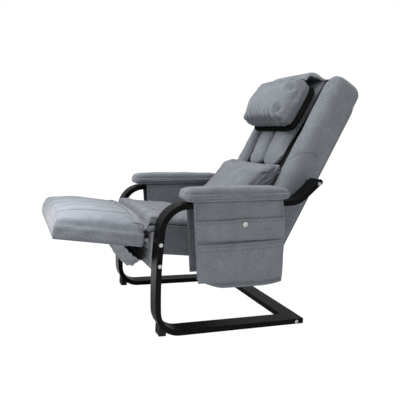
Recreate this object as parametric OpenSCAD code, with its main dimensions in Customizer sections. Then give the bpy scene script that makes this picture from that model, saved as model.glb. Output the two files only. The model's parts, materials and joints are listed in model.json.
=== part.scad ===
// Lounge chair for foot and back massage: two bent wood side frames carry a padded seat,
// a leaning back with a massage carriage inside, and a leg rest that folds down at the knee.
// The origin is on the floor, under the middle of the rear floor bar. The chair faces -Y.

/* [Side frames] */
// Distance between the middles of the two side frames
frame_gauge = 640; // [600:1:680]
// Width of the bent wood strip
wood_w = 70; // [56:1:84]
// Thickness of the bent wood strip
wood_t = 22; // [18:1:26]
// Straight length of each floor rail
rail_l = 555; // [520:1:600]
// Inner radius of the bend between floor rail and leg
foot_r = 80; // [70:1:90]
// Length of the leg along its slight bow
leg_l = 308; // [290:1:325]
// Radius of the leg's slight forward bow
leg_bow_r = 2150; // [1800:10:4000]
// Inner radius of the bend between leg and arm
arm_bend_r = 90; // [80:1:96]
// Straight length of the arm
arm_l = 438; // [420:1:460]
// Rise of the arm towards the back, in degrees
arm_rise = 2.2; // [0:0.1:4]
// Inner radius of the bend behind the arm
sweep_r = 94; // [80:1:110]
// Slope of the arm's rear end, in degrees
sweep_deg = 42; // [36:0.5:48]
// Length of the arm's sloping rear end
sweep_l = 103; // [90:1:115]
// Corner radius of the arm's rear end
end_r = 9; // [2:0.5:10]
// Depth of the rear floor bar, front to back
bar_d = 72; // [50:1:90]

/* [Front board and feet] */
// Height of the front board's lower edge
board_z = 245; // [230:1:255]
// Height of the front board
board_h = 140; // [130:1:145]
// Height of the small blocks under the front bends
foot_block_h = 42; // [41:1:60]
// Depth of the small blocks under the front bends
foot_block_d = 28; // [20:1:36]
// How far the small blocks stand behind the front of the legs
foot_block_inset = 21; // [20:1:30]

/* [Bolts] */
// Diameter of the frame bolts
bolt_d = 8; // [6:0.5:10]
// Diameter of the bolt heads
bolt_head_d = 15; // [12:0.5:18]
// Height of the bolt heads
bolt_head_h = 4; // [3:0.5:6]
// How far the bolts reach past the side frames
bolt_grip = 40; // [34:1:50]
// Diameter of the barrel nuts
barrel_d = 12; // [11:0.5:14]

/* [Arm pads] */
// Width of an arm pad
pad_w = 108; // [95:1:112]
// Thickness of an arm pad
pad_h = 56; // [45:1:62]
// Length of an arm pad
pad_l = 466; // [440:1:480]

/* [Arm covers and pockets] */
// Thickness of the cover cloth
cloth_t = 2.2; // [1.6:0.1:3]
// Height of the outer flap's hem above the floor
outer_hem_z = 186; // [170:1:210]
// Height of the inner flap's hem above the floor
inner_hem_z = 226; // [200:1:250]
// Depth of the upper pocket's bulge
upper_bulge = 10; // [8:0.5:12]
// Depth of the lower pocket's bulge
lower_bulge = 16; // [12:0.5:20]
// Height of the upper pocket's mouth
upper_mouth_z = 452; // [440:1:460]
// Height of the lower pocket's mouth
lower_mouth_z = 362; // [350:1:375]
// Diameter of the pocket's snap cap
snap_d = 20; // [14:1:24]

/* [Seat] */
// Gap between the seat or back and each side frame
seat_gap = 15; // [11:1:20]
// Slope of the seat towards the back, in degrees
seat_tilt = 5; // [3:0.5:7]
// Height of the seat side rails
seat_rail_h = 112; // [100:1:120]
// Thickness of the seat side rails with their cloth
seat_rail_t = 30; // [24:1:34]
// Length of the seat side rails
seat_rail_l = 394; // [380:1:400]
// Thickness of the seat cushion at its edge
cushion_edge_h = 24; // [20:1:36]
// Thickness of the seat cushion at its crown
cushion_h = 32; // [28:1:50]

/* [Leg rest] */
// Length of the leg rest from its rear end to its front end
rest_l = 336; // [300:1:350]
// How much wider the leg rest is than the seat, on each side
rest_overhang = 15; // [0:1:18]
// Height of the leg rest's side band
rest_band = 46; // [36:1:52]
// Height of the leg rest's padding at its crown
rest_h = 96; // [84:1:104]
// Rise of the raised leg rest, in degrees
rest_rise = 6.8; // [4:0.1:9]
// Diameter of the knee hinge pins
pin_d = 8; // [6:0.5:9]

/* [Back] */
// Lean of the back from upright, in degrees
back_lean = 26.4; // [24:0.2:28]
// Height of the back above its lower corner
back_h = 740; // [700:1:760]
// Depth of the side bolsters
bolster_d = 145; // [138:1:150]
// Width of the side bolsters
bolster_w = 90; // [80:1:94]
// Outer radius of the back's top corners
shoulder_r = 100; // [96:1:130]
// Gap between the hanging pad and each bolster
lobe_gap = 14; // [8:1:24]
// Thickness of the hanging pad at its crown
lobe_h = 36; // [28:1:44]

/* [Pillow and lumbar cushion] */
// Distance from each end of the head pillow in to the back's side
pillow_inset = 75; // [65:1:100]
// Height of the head pillow
pillow_l = 222; // [200:1:230]
// Thickness of the head pillow
pillow_h = 122; // [100:1:130]
// Distance from each end of the lumbar cushion in to the back's side
lumbar_inset = 48; // [40:1:80]
// Height of the lumbar cushion
lumbar_l = 272; // [240:1:280]
// Thickness of the lumbar cushion
lumbar_h = 128; // [110:1:135]

/* [Massage unit] */
// Diameter of the guide rods
rod_d = 12; // [10:0.5:13]
// Distance from each guide rod to the bolster beside it
rod_inset = 32; // [28:1:40]
// Diameter of the lead screw
screw_d = 12; // [10:0.5:13]
// Height of the carriage plate
carriage_h = 70; // [60:1:80]
// Thickness of the carriage plate
carriage_t = 26; // [24:1:28]
// Diameter of the kneading shaft
shaft_d = 16; // [12:0.5:18]
// Diameter of a massage roller
roller_d = 44; // [36:1:46]
// Width of a massage roller
roller_w = 26; // [20:1:28]

/* [Hidden] */
$fn = 64;

// Clearances shared by all pieces
bolt_gap = 0.25;
run_gap = 0.05;
soft_gap = 0.3;
overrun = 1;

// Colours
wood_colour = "#1b1b1c";
fabric_colour = "#7b828a";
dark_fabric_colour = "#5d646b";
steel_colour = "#b9bcbf";
board_colour = "#b79a6e";
black_colour = "#161718";
plastic_colour = "#3a3d40";

// The side frame's middle line, as [y, z, heading] after each step
frame_in_x = frame_gauge / 2 - wood_w / 2;
frame_out_x = frame_gauge / 2 + wood_w / 2;
seat_half_w = frame_in_x - seat_gap;
rest_half_w = seat_half_w + rest_overhang;
hollow_half_w = seat_half_w - bolster_w;
lobe_half_w = hollow_half_w - lobe_gap;
pillow_half_w = seat_half_w - pillow_inset;
lumbar_half_w = seat_half_w - lumbar_inset;
rod_x = hollow_half_w - rod_inset;
leg_turn = leg_l / leg_bow_r * 180 / PI;
foot_turn = 90 - leg_turn / 2;
arm_turn = 90 - leg_turn / 2 - arm_rise;
STEPS = [
  [rail_l, 0, 0], [0, foot_r + wood_t / 2, -foot_turn], [0, leg_bow_r, -leg_turn],
  [0, arm_bend_r + wood_t / 2, -arm_turn], [arm_l, 0, 0],
  [0, sweep_r + wood_t / 2, sweep_deg - arm_rise], [sweep_l, 0, 0]
];
function side(step) = step[2] > 0 ? 1 : -1;
function middle(p, step) = [
  p[0] + step[1] * cos(p[2] + side(step) * 90),
  p[1] + step[1] * sin(p[2] + side(step) * 90)
];
function after_bend(p, step) =
  let (c = middle(p, step), a = p[2] + step[2] - side(step) * 90)
  [c[0] + step[1] * cos(a), c[1] + step[1] * sin(a), p[2] + step[2]];
function after_run(p, step) = [p[0] + step[0] * cos(p[2]), p[1] + step[0] * sin(p[2]), p[2]];
function advance(p, step) = step[1] == 0 ? after_run(p, step) : after_bend(p, step);
function place(i) = i == 0 ? [bar_d / 2, wood_t / 2, 180] : advance(place(i - 1), STEPS[i - 1]);
leg_foot = place(2);
leg_middle = middle(leg_foot, STEPS[2]);
function leg_y(z) = leg_middle[0] - sqrt(pow(leg_bow_r, 2) - pow(z - leg_middle[1], 2));
arm_start = place(4);
function arm_top(y) = arm_start[1] + (y - arm_start[0]) * tan(arm_rise) + wood_t / 2 / cos(arm_rise);

// Front board, between the legs
board_mid_y = leg_y(board_z + board_h / 2);
board_front_y = board_mid_y - wood_t / 2;
board_back_y = board_mid_y + wood_t / 2;
board_bolt_shares = [0.21, 0.78];
nut_inset = bolt_grip * 0.7;
nut_l = wood_t - 2 * cloth_t;

// Bolt through the arm's rear end into the back
end_bolt_inset = 21;
arm_end = place(6);
end_bolt_y = arm_end[0] + (sweep_l - end_bolt_inset) * cos(sweep_deg);
end_bolt_z = arm_end[1] + (sweep_l - end_bolt_inset) * sin(sweep_deg);

// Back: up is s, forward is d, both from the back's lower rear corner
back_bolt_s = 267;
back_bolt_d = 45;
back_y = end_bolt_y - back_bolt_s * sin(back_lean) + back_bolt_d * cos(back_lean);
back_z = end_bolt_z - back_bolt_s * cos(back_lean) - back_bolt_d * sin(back_lean);
back_foot_s = -70;
back_rail_t = 22;
back_rail_d = 36;
back_rail_x = seat_half_w - seat_rail_t;
rail_d0 = back_bolt_d - back_rail_d / 2;
rail_d1 = back_bolt_d + back_rail_d / 2;
panel_t = 12;
hollow_s0 = 256;
top_roll_h = 85;
top_dip = 12;
roll_top_s = back_h - top_dip;
hollow_s1 = back_h - top_roll_h;
cross_rail_h = 22;
cross_rail_drop = 6;
cross_rail_rise = 5;
cross_rail_s = [0, hollow_s0 - cross_rail_h - cross_rail_drop, hollow_s1 + cross_rail_rise];
pad_back_d = 120.5;
net_t = 2;
lower_pad_d = 130;
lower_pad_back_d = 80;

// Seat: y runs rearwards and z upwards from the rails' lower front corner
seat_y = board_back_y + soft_gap;
seat_z = 300;
webbing_t = 2;
webbing_w = 50;
cushion_z = seat_rail_h + webbing_t + soft_gap;
nose = 46;
seat_cushion_l = 460;
seat_inner_x = seat_half_w - seat_rail_t;

// Leg rest: y and z from the knee hinge pins
hinge_stand = 9;
hinge_y = board_front_y - hinge_stand;
hinge_z = 350;
rest_rear_y = -20;
rest_board_t = 14;
rest_board_z = -24;
rest_cushion_z = rest_board_z + rest_board_t + soft_gap;
hinge_inset = 63;
hinge_x = frame_in_x - hinge_inset;
knuckle_wall = 4;
knuckle_r = pin_d / 2 + knuckle_wall;
knuckle_w = 13;
leaf_t = 3;
leaf_h = 34;
leaf_arm_t = 6;
leaf_arm_l = 150;
leaf_drop_y = -75;
leaf_drop_z = rest_board_z - leaf_arm_t / 2;

// Massage unit
rod_dp = 48;
carriage_s = (hollow_s0 + hollow_s1) / 2;
shaft_dp = 76;
arm_reach = 55;
roller_dp = 86;
hub_wall = 5;
hub_r = shaft_d / 2 + hub_wall;
hub_x0 = 46;
hub_x1 = 96;
arm_plate_t = 12;
pin_r = 5;
gear_box = [84, 40, 58];
bush_t = 3;
bush_l = 22;

module in_back() { translate([0, back_y, back_z]) rotate([-back_lean, 0, 0]) children(); }
module in_seat() { translate([0, seat_y, seat_z]) rotate([-seat_tilt, 0, 0]) children(); }
module in_leg_rest() { translate([0, hinge_y, hinge_z]) rotate([-rest_rise, 0, 0]) children(); }
module both_sides() { children(); mirror([1, 0, 0]) children(); }
module along_x(x0, x1) { translate([x0, 0, 0]) rotate([90, 0, 90]) linear_extrude(x1 - x0) children(); }
// A box in the back's own frame, from x, d and s ranges
module back_box(x0, x1, d0, d1, s0, s1) {
  translate([x0, -d1, s0]) cube([x1 - x0, d1 - d0, s1 - s0]);
}
module rod_x(x0, x1, r) { translate([x0, 0, 0]) rotate([0, 90, 0]) cylinder(r = r, h = x1 - x0); }

// Closed solid between an upper and a lower grid of points, rows of cols + 1 points each
module grid_solid(upper, lower, rows, cols) {
  n = cols + 1;
  last = (rows + 1) * n;
  top = [for (i = [0:rows - 1], j = [0:cols - 1]) each
    [[i * n + j, (i + 1) * n + j, (i + 1) * n + j + 1], [i * n + j, (i + 1) * n + j + 1, i * n + j + 1]]];
  base = [for (f = top) [f[0] + last, f[2] + last, f[1] + last]];
  rim = concat(
    [for (j = [0:cols - 1]) j], [for (i = [0:rows - 1]) i * n + cols],
    [for (j = [cols:-1:1]) rows * n + j], [for (i = [rows:-1:1]) i * n]);
  count = len(rim);
  wall = [for (k = [0:count - 1]) let (a = rim[k], b = rim[(k + 1) % count]) each
    [[a, b, b + last], [a, b + last, a + last]]];
  polyhedron(concat(upper, lower), concat(top, base, wall));
}

// Place along a side from -1 to 1, closer together near the ends
function spread(i, count) = sin(90 * (2 * i / count - 1));
function crown(u, v, power) = sqrt(max(0, (1 - pow(abs(u), power)) * (1 - pow(abs(v), power))));
function tucked(half, tuck, u, v) = u * (half - tuck * (1 - v * v));
function groove(x, lines, width, depth) =
  len(lines) == 0 ? 0 : max([for (g = lines) depth * exp(-pow((x - g) / width, 2))]);

// A stuffed block: a side band, crowned faces, sides drawn in and channels sewn along y. It can lean
// along y as it rises, and its band can taper towards +y
module soft_block(half_x, half_y, band, rise, sink, tuck, rows, cols, power, lines, width, depth,
    slant = 0, taper = 0) {
  round_share = 0.035;
  spots = [for (i = [0:rows], j = [0:cols]) [spread(i, rows), spread(j, cols)]];
  flat = [for (p = spots) let (u = p[0], v = p[1], keep = 1 - round_share * pow(u * v, 4))
    [tucked(half_x, tuck, u, v) * keep, tucked(half_y, tuck, v, u) * keep, crown(u, v, power),
     1 - taper * v]];
  function leant(p, z) = [p[0], p[1] - z * slant, z];
  upper = [for (p = flat) leant(p, band * p[3] + (rise - groove(p[0], lines, width, depth)) * p[2])];
  lower = [for (p = flat) leant(p, -sink * p[2])];
  grid_solid(upper, lower, rows, cols);
}

// Skin over a chain of rings that each hold the same number of points
module skin(rings) {
  n = len(rings[0]);
  last = (len(rings) - 1) * n;
  walls = [for (i = [0:len(rings) - 2], j = [0:n - 1]) let (a = i * n + j, b = i * n + (j + 1) % n) each
    [[a, b, b + n], [a, b + n, a + n]]];
  caps = [for (j = [1:n - 2]) each [[0, j + 1, j], [last, last + j, last + j + 1]]];
  polyhedron([for (r = rings) each r], concat(walls, caps));
}

// Part of a flat ring, in the plane of the side frame
module bend(r, t, a0, a1) {
  reach = 2 * r;
  am = (a0 + a1) / 2;
  difference() {
    intersection() {
      circle(r + t / 2);
      polygon([[0, 0], reach * [cos(a0), sin(a0)], reach * [cos(am), sin(am)], reach * [cos(a1), sin(a1)]]);
    }
    circle(r - t / 2);
  }
}

// Outline of the strip: one edge from the floor rail's rear end, round the arm's rear end, and back
function part_bend(p, step, share) =
  let (c = middle(p, step), a = p[2] + step[2] * share - side(step) * 90)
  [c[0] + step[1] * cos(a), c[1] + step[1] * sin(a), p[2] + step[2] * share];
function beside(p, off) = [p[0] - off * sin(p[2]), p[1] + off * cos(p[2])];
function cells(step) = max(10, ceil(abs(step[2]) / 4));
function edge(i, off) =
  let (p = place(i), step = STEPS[i])
  step[1] == 0 ? [beside(after_run(p, step), off)]
    : [for (k = [1:cells(step)]) beside(part_bend(p, step, k / cells(step)), off)];
function round_corner(p, off, a0, a1) =
  let (c = beside([p[0] - end_r * cos(p[2]), p[1] - end_r * sin(p[2]), p[2]], off))
  [for (k = [0:6]) let (a = p[2] + a0 + (a1 - a0) * k / 6) c + end_r * [cos(a), sin(a)]];
module strip() {
  last = len(STEPS) - 1;
  half = wood_t / 2;
  right = [for (i = [0:last - 1]) each edge(i, -half)];
  left = [for (i = [0:last - 1]) each edge(i, half)];
  polygon(concat(
    [beside(place(0), -half)], right,
    round_corner(place(last + 1), end_r - half, -90, 0), round_corner(place(last + 1), half - end_r, 0, 90),
    [for (k = [len(left) - 1:-1:0]) left[k]], [beside(place(0), half)]));
}

module at_leg_bolts() {
  for (share = board_bolt_shares) {
    z = board_z + share * board_h;
    translate([0, board_mid_y, z]) children();
  }
}
module at_bar_bolt() { translate([0, 0, wood_t / 2]) children(); }
module at_end_bolt() { translate([0, end_bolt_y, end_bolt_z]) children(); }

module side_frame() {
  hole_r = bolt_d / 2 + bolt_gap;
  difference() {
    along_x(frame_in_x, frame_out_x) strip();
    at_leg_bolts() rod_x(frame_in_x - overrun, frame_out_x + overrun, hole_r);
    at_bar_bolt() rod_x(frame_in_x - overrun, frame_out_x + overrun, hole_r);
    at_end_bolt() rod_x(frame_in_x - overrun, frame_out_x + overrun, hole_r);
  }
}
module side_frame_left() { color(wood_colour) side_frame(); }
module side_frame_right() { color(wood_colour) mirror([1, 0, 0]) side_frame(); }

// A bolt along x with its head on the frame's outer face
module frame_bolt(reach) {
  rod_x(frame_out_x - reach, frame_out_x, bolt_d / 2);
  difference() {
    rod_x(frame_out_x, frame_out_x + bolt_head_h, bolt_head_d / 2);
    rod_x(frame_out_x + bolt_head_h / 2, frame_out_x + bolt_head_h + overrun, bolt_d * 0.33, $fn = 6);
  }
}
module frame_bolts() {
  color(steel_colour) both_sides() {
    at_leg_bolts() frame_bolt(wood_w + bolt_grip);
    at_bar_bolt() frame_bolt(wood_w + bolt_grip);
  }
}
end_bolt_reach = frame_out_x - back_rail_x + bolt_d;
module arm_end_bolts() { color(steel_colour) both_sides() at_end_bolt() frame_bolt(end_bolt_reach); }

// A barrel nut standing along z, with its thread along x
module barrel_nut() {
  difference() {
    translate([0, 0, -nut_l / 2]) cylinder(d = barrel_d, h = nut_l);
    rod_x(-barrel_d, barrel_d, bolt_d / 2 + run_gap);
  }
}
nut_x = frame_in_x - nut_inset;
module frame_nuts() {
  color(steel_colour) both_sides() {
    at_leg_bolts() translate([nut_x, 0, 0]) rotate([90, 0, 0]) barrel_nut();
    at_bar_bolt() translate([nut_x, 0, 0]) barrel_nut();
    at_end_bolt() difference() {
      rod_x(back_rail_x - bolt_d, back_rail_x, bolt_d, $fn = 6);
      rod_x(back_rail_x - bolt_d - overrun, back_rail_x + overrun, bolt_d / 2 + run_gap);
    }
  }
}
spacer_wall = 6;
spacer_r = bolt_d / 2 + spacer_wall;
module arm_spacers() {
  color(black_colour) both_sides() at_end_bolt() difference() {
    rod_x(back_rail_x + back_rail_t, frame_in_x, spacer_r);
    rod_x(back_rail_x, frame_in_x + overrun, bolt_d / 2 + bolt_gap);
  }
}

module bolt_seats(reach) {
  both_sides() {
    rod_x(frame_in_x - reach, frame_in_x + overrun, bolt_d / 2 + bolt_gap);
    translate([nut_x, 0, -wood_t]) cylinder(d = barrel_d + 2 * run_gap, h = wood_t + nut_l / 2 + run_gap);
  }
}
module rear_floor_bar() {
  color(wood_colour) difference() {
    translate([-frame_in_x, -bar_d / 2, 0]) cube([2 * frame_in_x, bar_d, wood_t]);
    at_bar_bolt() bolt_seats(bolt_grip + bolt_gap);
  }
}
module front_cross_board() {
  color(dark_fabric_colour) difference() {
    translate([-frame_in_x, board_front_y, board_z]) cube([2 * frame_in_x, wood_t, board_h]);
    at_leg_bolts() rotate([90, 0, 0]) bolt_seats(bolt_grip + bolt_gap);
  }
}

// Blocks that fill the space under the front bends
foot_middle = middle(place(1), STEPS[1]);
module front_foot_blocks() {
  y0 = foot_middle[0] - foot_r - wood_t + foot_block_inset;
  color(black_colour) both_sides() along_x(frame_in_x + wood_w / 8, frame_out_x - wood_w / 8) difference() {
    translate([y0, 0]) square([foot_block_d, foot_block_h]);
    translate(foot_middle) circle(foot_r + wood_t + run_gap, $fn = 96);
  }
}

// Arm pads
pad_front_y = arm_start[0] - 41;
pad_mid_y = pad_front_y + pad_l / 2;
module arm_pad() {
  pad_band = pad_h * 0.5;
  pad_rise = pad_h * 0.36;
  pad_sink = pad_h * 0.14;
  pad_z = arm_top(pad_mid_y) + cloth_t + 2 * soft_gap + pad_sink;
  translate([frame_gauge / 2, pad_mid_y, pad_z]) rotate([arm_rise, 0, 0])
    soft_block(pad_w / 2, pad_l / 2, pad_band, pad_rise, pad_sink, pad_w / 50, 8, 14, 4, [], 1, 0);
}
module arm_pad_left() { color(fabric_colour) arm_pad(); }
module arm_pad_right() { color(fabric_colour) mirror([1, 0, 0]) arm_pad(); }

// Arm cover: a cloth saddle whose two flaps hang beside the arm. Rows run from the outer hem,
// up, over the arm and down to the inner hem, columns from front to back
cover_set = 15;
cover_l = 395;
cover_front_y = arm_start[0] + cover_set;
cover_rear_y = cover_front_y + cover_l;
cover_lean = 32;
cover_rear_draw = 12;
outer_rows = 8;
inner_rows = 6;
hem_front_lift = 30;
hem_rear_lift = 5;
function hem_lift(v) = hem_front_lift * pow(max(0, 1 - v / 0.22), 2)
  + hem_rear_lift * pow(max(0, (v - 0.85) / 0.15), 2);
function cover_y(f, v) =
  let (front = cover_front_y + cover_lean * (1 - f),
       rear = cover_rear_y + cover_lean * 0.25 * sin(180 * f) - cover_rear_draw * pow(f, 4))
  front + (rear - front) * v;
function fold(v, f) = cloth_t * (1 - f) * (1 + sin(540 * v));
function outer_spot(f, v, out) =
  let (y = cover_y(f, v), z0 = outer_hem_z + hem_lift(v), z1 = arm_top(y) + soft_gap)
  [frame_out_x + soft_gap + fold(v, f) + out, y, z0 + (z1 - z0) * f + out * f];
function inner_spot(f, v, out) =
  let (y = cover_y(f, v), z1 = arm_top(y) + soft_gap)
  [frame_in_x - soft_gap - fold(v, f) - out, y, inner_hem_z + (z1 - inner_hem_z) * f + out * f];
module arm_cover() {
  cols = 12;
  rows = outer_rows + inner_rows + 1;
  function spot(i, v, out) = i <= outer_rows ? outer_spot(i / outer_rows, v, out)
    : inner_spot((rows - i) / inner_rows, v, out);
  outside = [for (i = [0:rows], j = [0:cols]) spot(i, j / cols, cloth_t)];
  inside = [for (i = [0:rows], j = [0:cols]) spot(i, j / cols, 0)];
  grid_solid(inside, outside, rows, cols);
}
module arm_cover_left() { color(fabric_colour) arm_cover(); }
module arm_cover_right() { color(fabric_colour) mirror([1, 0, 0]) arm_cover(); }

// Pockets: bowed sheets sewn on the outer flap, open at the top. The lower one stands further out
pocket_inset = 8;
pocket_seam = 6;
pocket_hem = 34;
function pocket_x(z) = frame_out_x + 2 * soft_gap + cloth_t
  + 2 * cloth_t * (arm_start[1] - z) / (arm_start[1] - outer_hem_z);
pocket_front_y = cover_front_y + cover_lean + pocket_inset;
pocket_w = cover_rear_y - pocket_front_y - pocket_inset;
module pocket_bow(bulge, less) {
  r = (pow(pocket_w / 2, 2) + pow(bulge, 2)) / (2 * bulge);
  intersection() {
    translate([bulge - r, pocket_w / 2]) circle(r - less, $fn = 720);
    translate([0, less]) square([bulge, pocket_w - 2 * less]);
  }
}
module pocket(bulge, z0, z1) {
  translate([pocket_x(z0), pocket_front_y, z0]) {
    linear_extrude(cloth_t) pocket_bow(bulge, 0);
    linear_extrude(z1 - z0) difference() {
      pocket_bow(bulge, 0);
      pocket_bow(bulge, cloth_t);
    }
  }
}
upper_pocket_z = lower_mouth_z + pocket_seam;
module upper_pocket() { pocket(upper_bulge, upper_pocket_z, upper_mouth_z); }
module lower_pocket() { pocket(lower_bulge, outer_hem_z + pocket_hem, lower_mouth_z); }
module upper_pocket_left() { color(fabric_colour) upper_pocket(); }
module upper_pocket_right() { color(fabric_colour) mirror([1, 0, 0]) upper_pocket(); }
module lower_pocket_left() { color(fabric_colour) lower_pocket(); }
module lower_pocket_right() { color(fabric_colour) mirror([1, 0, 0]) lower_pocket(); }
snap_z = upper_mouth_z - snap_d;
snap_x = pocket_x(upper_pocket_z) + upper_bulge;
module pocket_snaps() {
  color(steel_colour) both_sides() translate([0, pocket_front_y + pocket_w / 2, snap_z]) difference() {
    rod_x(snap_x, snap_x + 2 * cloth_t, snap_d / 2);
    rod_x(snap_x + cloth_t, snap_x + 3 * cloth_t, snap_d / 4);
  }
}

// Seat
plate_t = 4;
screw_r = 3;
screw_head_r = 6;
plate_screw_insets = [50, 22];
plate_seat_y = [for (inset = plate_screw_insets) seat_rail_l - inset];
plate_seat_z = 55;
plate_back_s = [-50, -14];
module at_seat_screws() { for (y = plate_seat_y) in_seat() translate([0, y, plate_seat_z]) children(); }
module at_back_screws() { for (s = plate_back_s) in_back() translate([0, -back_bolt_d, s]) children(); }
module screw_holes() {
  at_seat_screws() rod_x(back_rail_x - 2 * plate_t, seat_half_w + overrun, screw_r + run_gap);
  at_back_screws() rod_x(back_rail_x - 2 * plate_t, seat_half_w + overrun, screw_r + run_gap);
}
module seat_rail() {
  difference() {
    in_seat() translate([seat_inner_x, 0, 0]) cube([seat_rail_t, seat_rail_l, seat_rail_h]);
    screw_holes();
  }
}
module seat_rail_left() { color(dark_fabric_colour) seat_rail(); }
module seat_rail_right() { color(dark_fabric_colour) mirror([1, 0, 0]) seat_rail(); }

rear_rail_t = 22;
rear_rail_z = 24;
rear_rail_h = 70;
rear_rail_y = plate_seat_y[0] - 2 * screw_head_r - rear_rail_t - plate_t;
module seat_rear_rail() {
  color(board_colour) in_seat() translate([-seat_inner_x, rear_rail_y, rear_rail_z])
    cube([2 * seat_inner_x, rear_rail_t, rear_rail_h]);
}
module seat_webbing() {
  half = seat_half_w - 2 * cloth_t;
  pitch = (seat_rail_l - webbing_w) / 6;
  color(black_colour) in_seat() for (i = [0:5])
    translate([-half, webbing_w / 2 + i * pitch, seat_rail_h]) cube([2 * half, webbing_w, webbing_t]);
}
module seat_dust_cover() {
  half = seat_inner_x - soft_gap;
  color(black_colour) in_seat() translate([-half, soft_gap, 2 * cloth_t])
    cube([2 * half, rear_rail_y - 2 * soft_gap, cloth_t]);
}
roll_h = 27;
roll_d = 51;
roll_overhang = 21;
module seat_front_roll() {
  half = seat_half_w - cloth_t;
  color(fabric_colour) translate([0, board_front_y - roll_overhang, board_z + board_h + soft_gap])
    along_x(-half, half) {
      translate([roll_h / 2, 0]) square([roll_d - roll_h, roll_h]);
      for (y = [roll_h / 2, roll_d - roll_h / 2]) translate([y, roll_h / 2]) circle(roll_h / 2);
    }
}
channel_w = 7;
channel_depth = 4;
module seat_cushion() {
  lines = [for (k = [-2:2]) k * seat_half_w / 3];
  color(fabric_colour) in_seat() translate([0, seat_cushion_l / 2 - nose, cushion_z])
    soft_block(seat_half_w - cloth_t, seat_cushion_l / 2, cushion_edge_h, cushion_h - cushion_edge_h, 0,
      2 * cloth_t, 18, 12, 5, lines, channel_w, channel_depth);
}
module plate_outline() {
  hull() {
    at_seat_screws() rod_x(back_rail_x - plate_t, back_rail_x, 2 * screw_head_r, $fn = 32);
    at_back_screws() rod_x(back_rail_x - plate_t, back_rail_x, 2 * screw_head_r, $fn = 32);
  }
}
module seat_back_plates() {
  color(steel_colour) both_sides() difference() { plate_outline(); screw_holes(); }
}
module plate_screw() {
  rod_x(back_rail_x - 2 * plate_t, back_rail_x - plate_t, screw_head_r);
  rod_x(back_rail_x - plate_t, back_rail_x + rear_rail_t - cloth_t, screw_r);
}
module seat_back_screws() {
  color(steel_colour) both_sides() {
    at_seat_screws() plate_screw();
    at_back_screws() plate_screw();
  }
}

// Knee hinges
leaf_gap = 0.4;
module hinge_fixed_leaves() {
  half = knuckle_w * 1.5 + leaf_gap;
  color(steel_colour) both_sides() {
    translate([0, board_front_y - leaf_t, hinge_z - leaf_h - knuckle_r - 2 * leaf_gap])
      along_x(hinge_x - half, hinge_x + half) square([leaf_t, leaf_h]);
    for (x0 = [hinge_x - half, hinge_x + half - knuckle_w])
      translate([0, hinge_y, hinge_z]) along_x(x0, x0 + knuckle_w) difference() {
        union() {
          circle(knuckle_r);
          translate([0, -leaf_h]) square([board_front_y - hinge_y, leaf_h]);
        }
        circle(pin_d / 2 + run_gap);
      }
  }
}
module hinge_pins() {
  half = knuckle_w * 1.5 + leaf_gap;
  color(steel_colour) both_sides() translate([0, hinge_y, hinge_z]) {
    rod_x(hinge_x - half, hinge_x + half, pin_d / 2);
    rod_x(hinge_x + half, hinge_x + half + leaf_t, pin_d * 0.75);
  }
}
module hinge_moving_leaves() {
  run = norm([leaf_drop_y, leaf_drop_z]);
  turn = atan2(leaf_drop_z, leaf_drop_y);
  color(steel_colour) both_sides() in_leg_rest()
    along_x(hinge_x - knuckle_w / 2, hinge_x + knuckle_w / 2) difference() {
      union() {
        circle(knuckle_r);
        rotate(turn) translate([0, -leaf_arm_t / 2]) square([run, leaf_arm_t]);
        translate([leaf_drop_y, leaf_drop_z]) circle(leaf_arm_t / 2);
        translate([-leaf_arm_l, leaf_drop_z - leaf_arm_t / 2])
          square([leaf_arm_l + leaf_drop_y, leaf_arm_t]);
      }
      circle(pin_d / 2 + run_gap);
    }
}

// Leg rest
rest_mid_y = rest_rear_y - rest_l / 2;
rest_board_rear_y = leaf_drop_y - 2 * cloth_t;
module leg_rest_board() {
  half = rest_half_w - 2 * cloth_t;
  front_y = rest_rear_y - rest_l + 2 * cloth_t;
  color(dark_fabric_colour) in_leg_rest() translate([-half, front_y, rest_board_z])
    cube([2 * half, rest_board_rear_y - front_y, rest_board_t]);
}
module leg_rest_cushion() {
  lines = [for (k = [-2:2]) k * rest_half_w / 3];
  recess = knuckle_w + 4 * cloth_t;
  color(fabric_colour) in_leg_rest() difference() {
    translate([0, rest_mid_y, rest_cushion_z])
      soft_block(rest_half_w, rest_l / 2, rest_band, rest_h - rest_band, 0, 2 * cloth_t, 18, 12, 8,
        lines, channel_w, channel_depth);
    for (s = [-1, 1])
      translate([s * hinge_x - recess / 2, rest_rear_y - 2 * knuckle_r - overrun, -knuckle_r * 2])
        cube([recess, 3 * knuckle_r, knuckle_r * 2]);
  }
}

// Gathered cloth that hangs in ruffles behind the leg rest, from its underside to the front board
gusset_inset = 26;
gusset_half_w = hinge_x - gusset_inset;
gusset_drop = 165;
gusset_t = 2.6;
gusset_ruffle = 4;
gusset_folds = 7;
gusset_pull_shares = [0.05, 0.72, 0.96, 1];
function leg_point(y, z) = [
  hinge_y + y * cos(rest_rise) + z * sin(rest_rise),
  hinge_z - y * sin(rest_rise) + z * cos(rest_rise)
];
gusset_a = leg_point(rest_board_rear_y - 3 * cloth_t, rest_board_z - gusset_ruffle);
gusset_d = [board_front_y - gusset_t, board_z + board_h / 7];
gusset_span = gusset_d - gusset_a;
gusset_b = gusset_a + [gusset_pull_shares[0] * gusset_span[0], -gusset_pull_shares[1] * gusset_drop];
gusset_c = gusset_a + [gusset_pull_shares[2] * gusset_span[0], -gusset_pull_shares[3] * gusset_drop];
function sag(t) = pow(1 - t, 3) * gusset_a + 3 * t * pow(1 - t, 2) * gusset_b
  + 3 * t * t * (1 - t) * gusset_c + pow(t, 3) * gusset_d;
function sag_side(t) =
  let (step = 0.01, way = sag(min(1, t + step)) - sag(max(0, t - step)), n = norm(way))
  [-way[1] / n, way[0] / n];
function ruffle(t) = gusset_ruffle * sin(180 * t) * sin(360 * gusset_folds * t);
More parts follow.
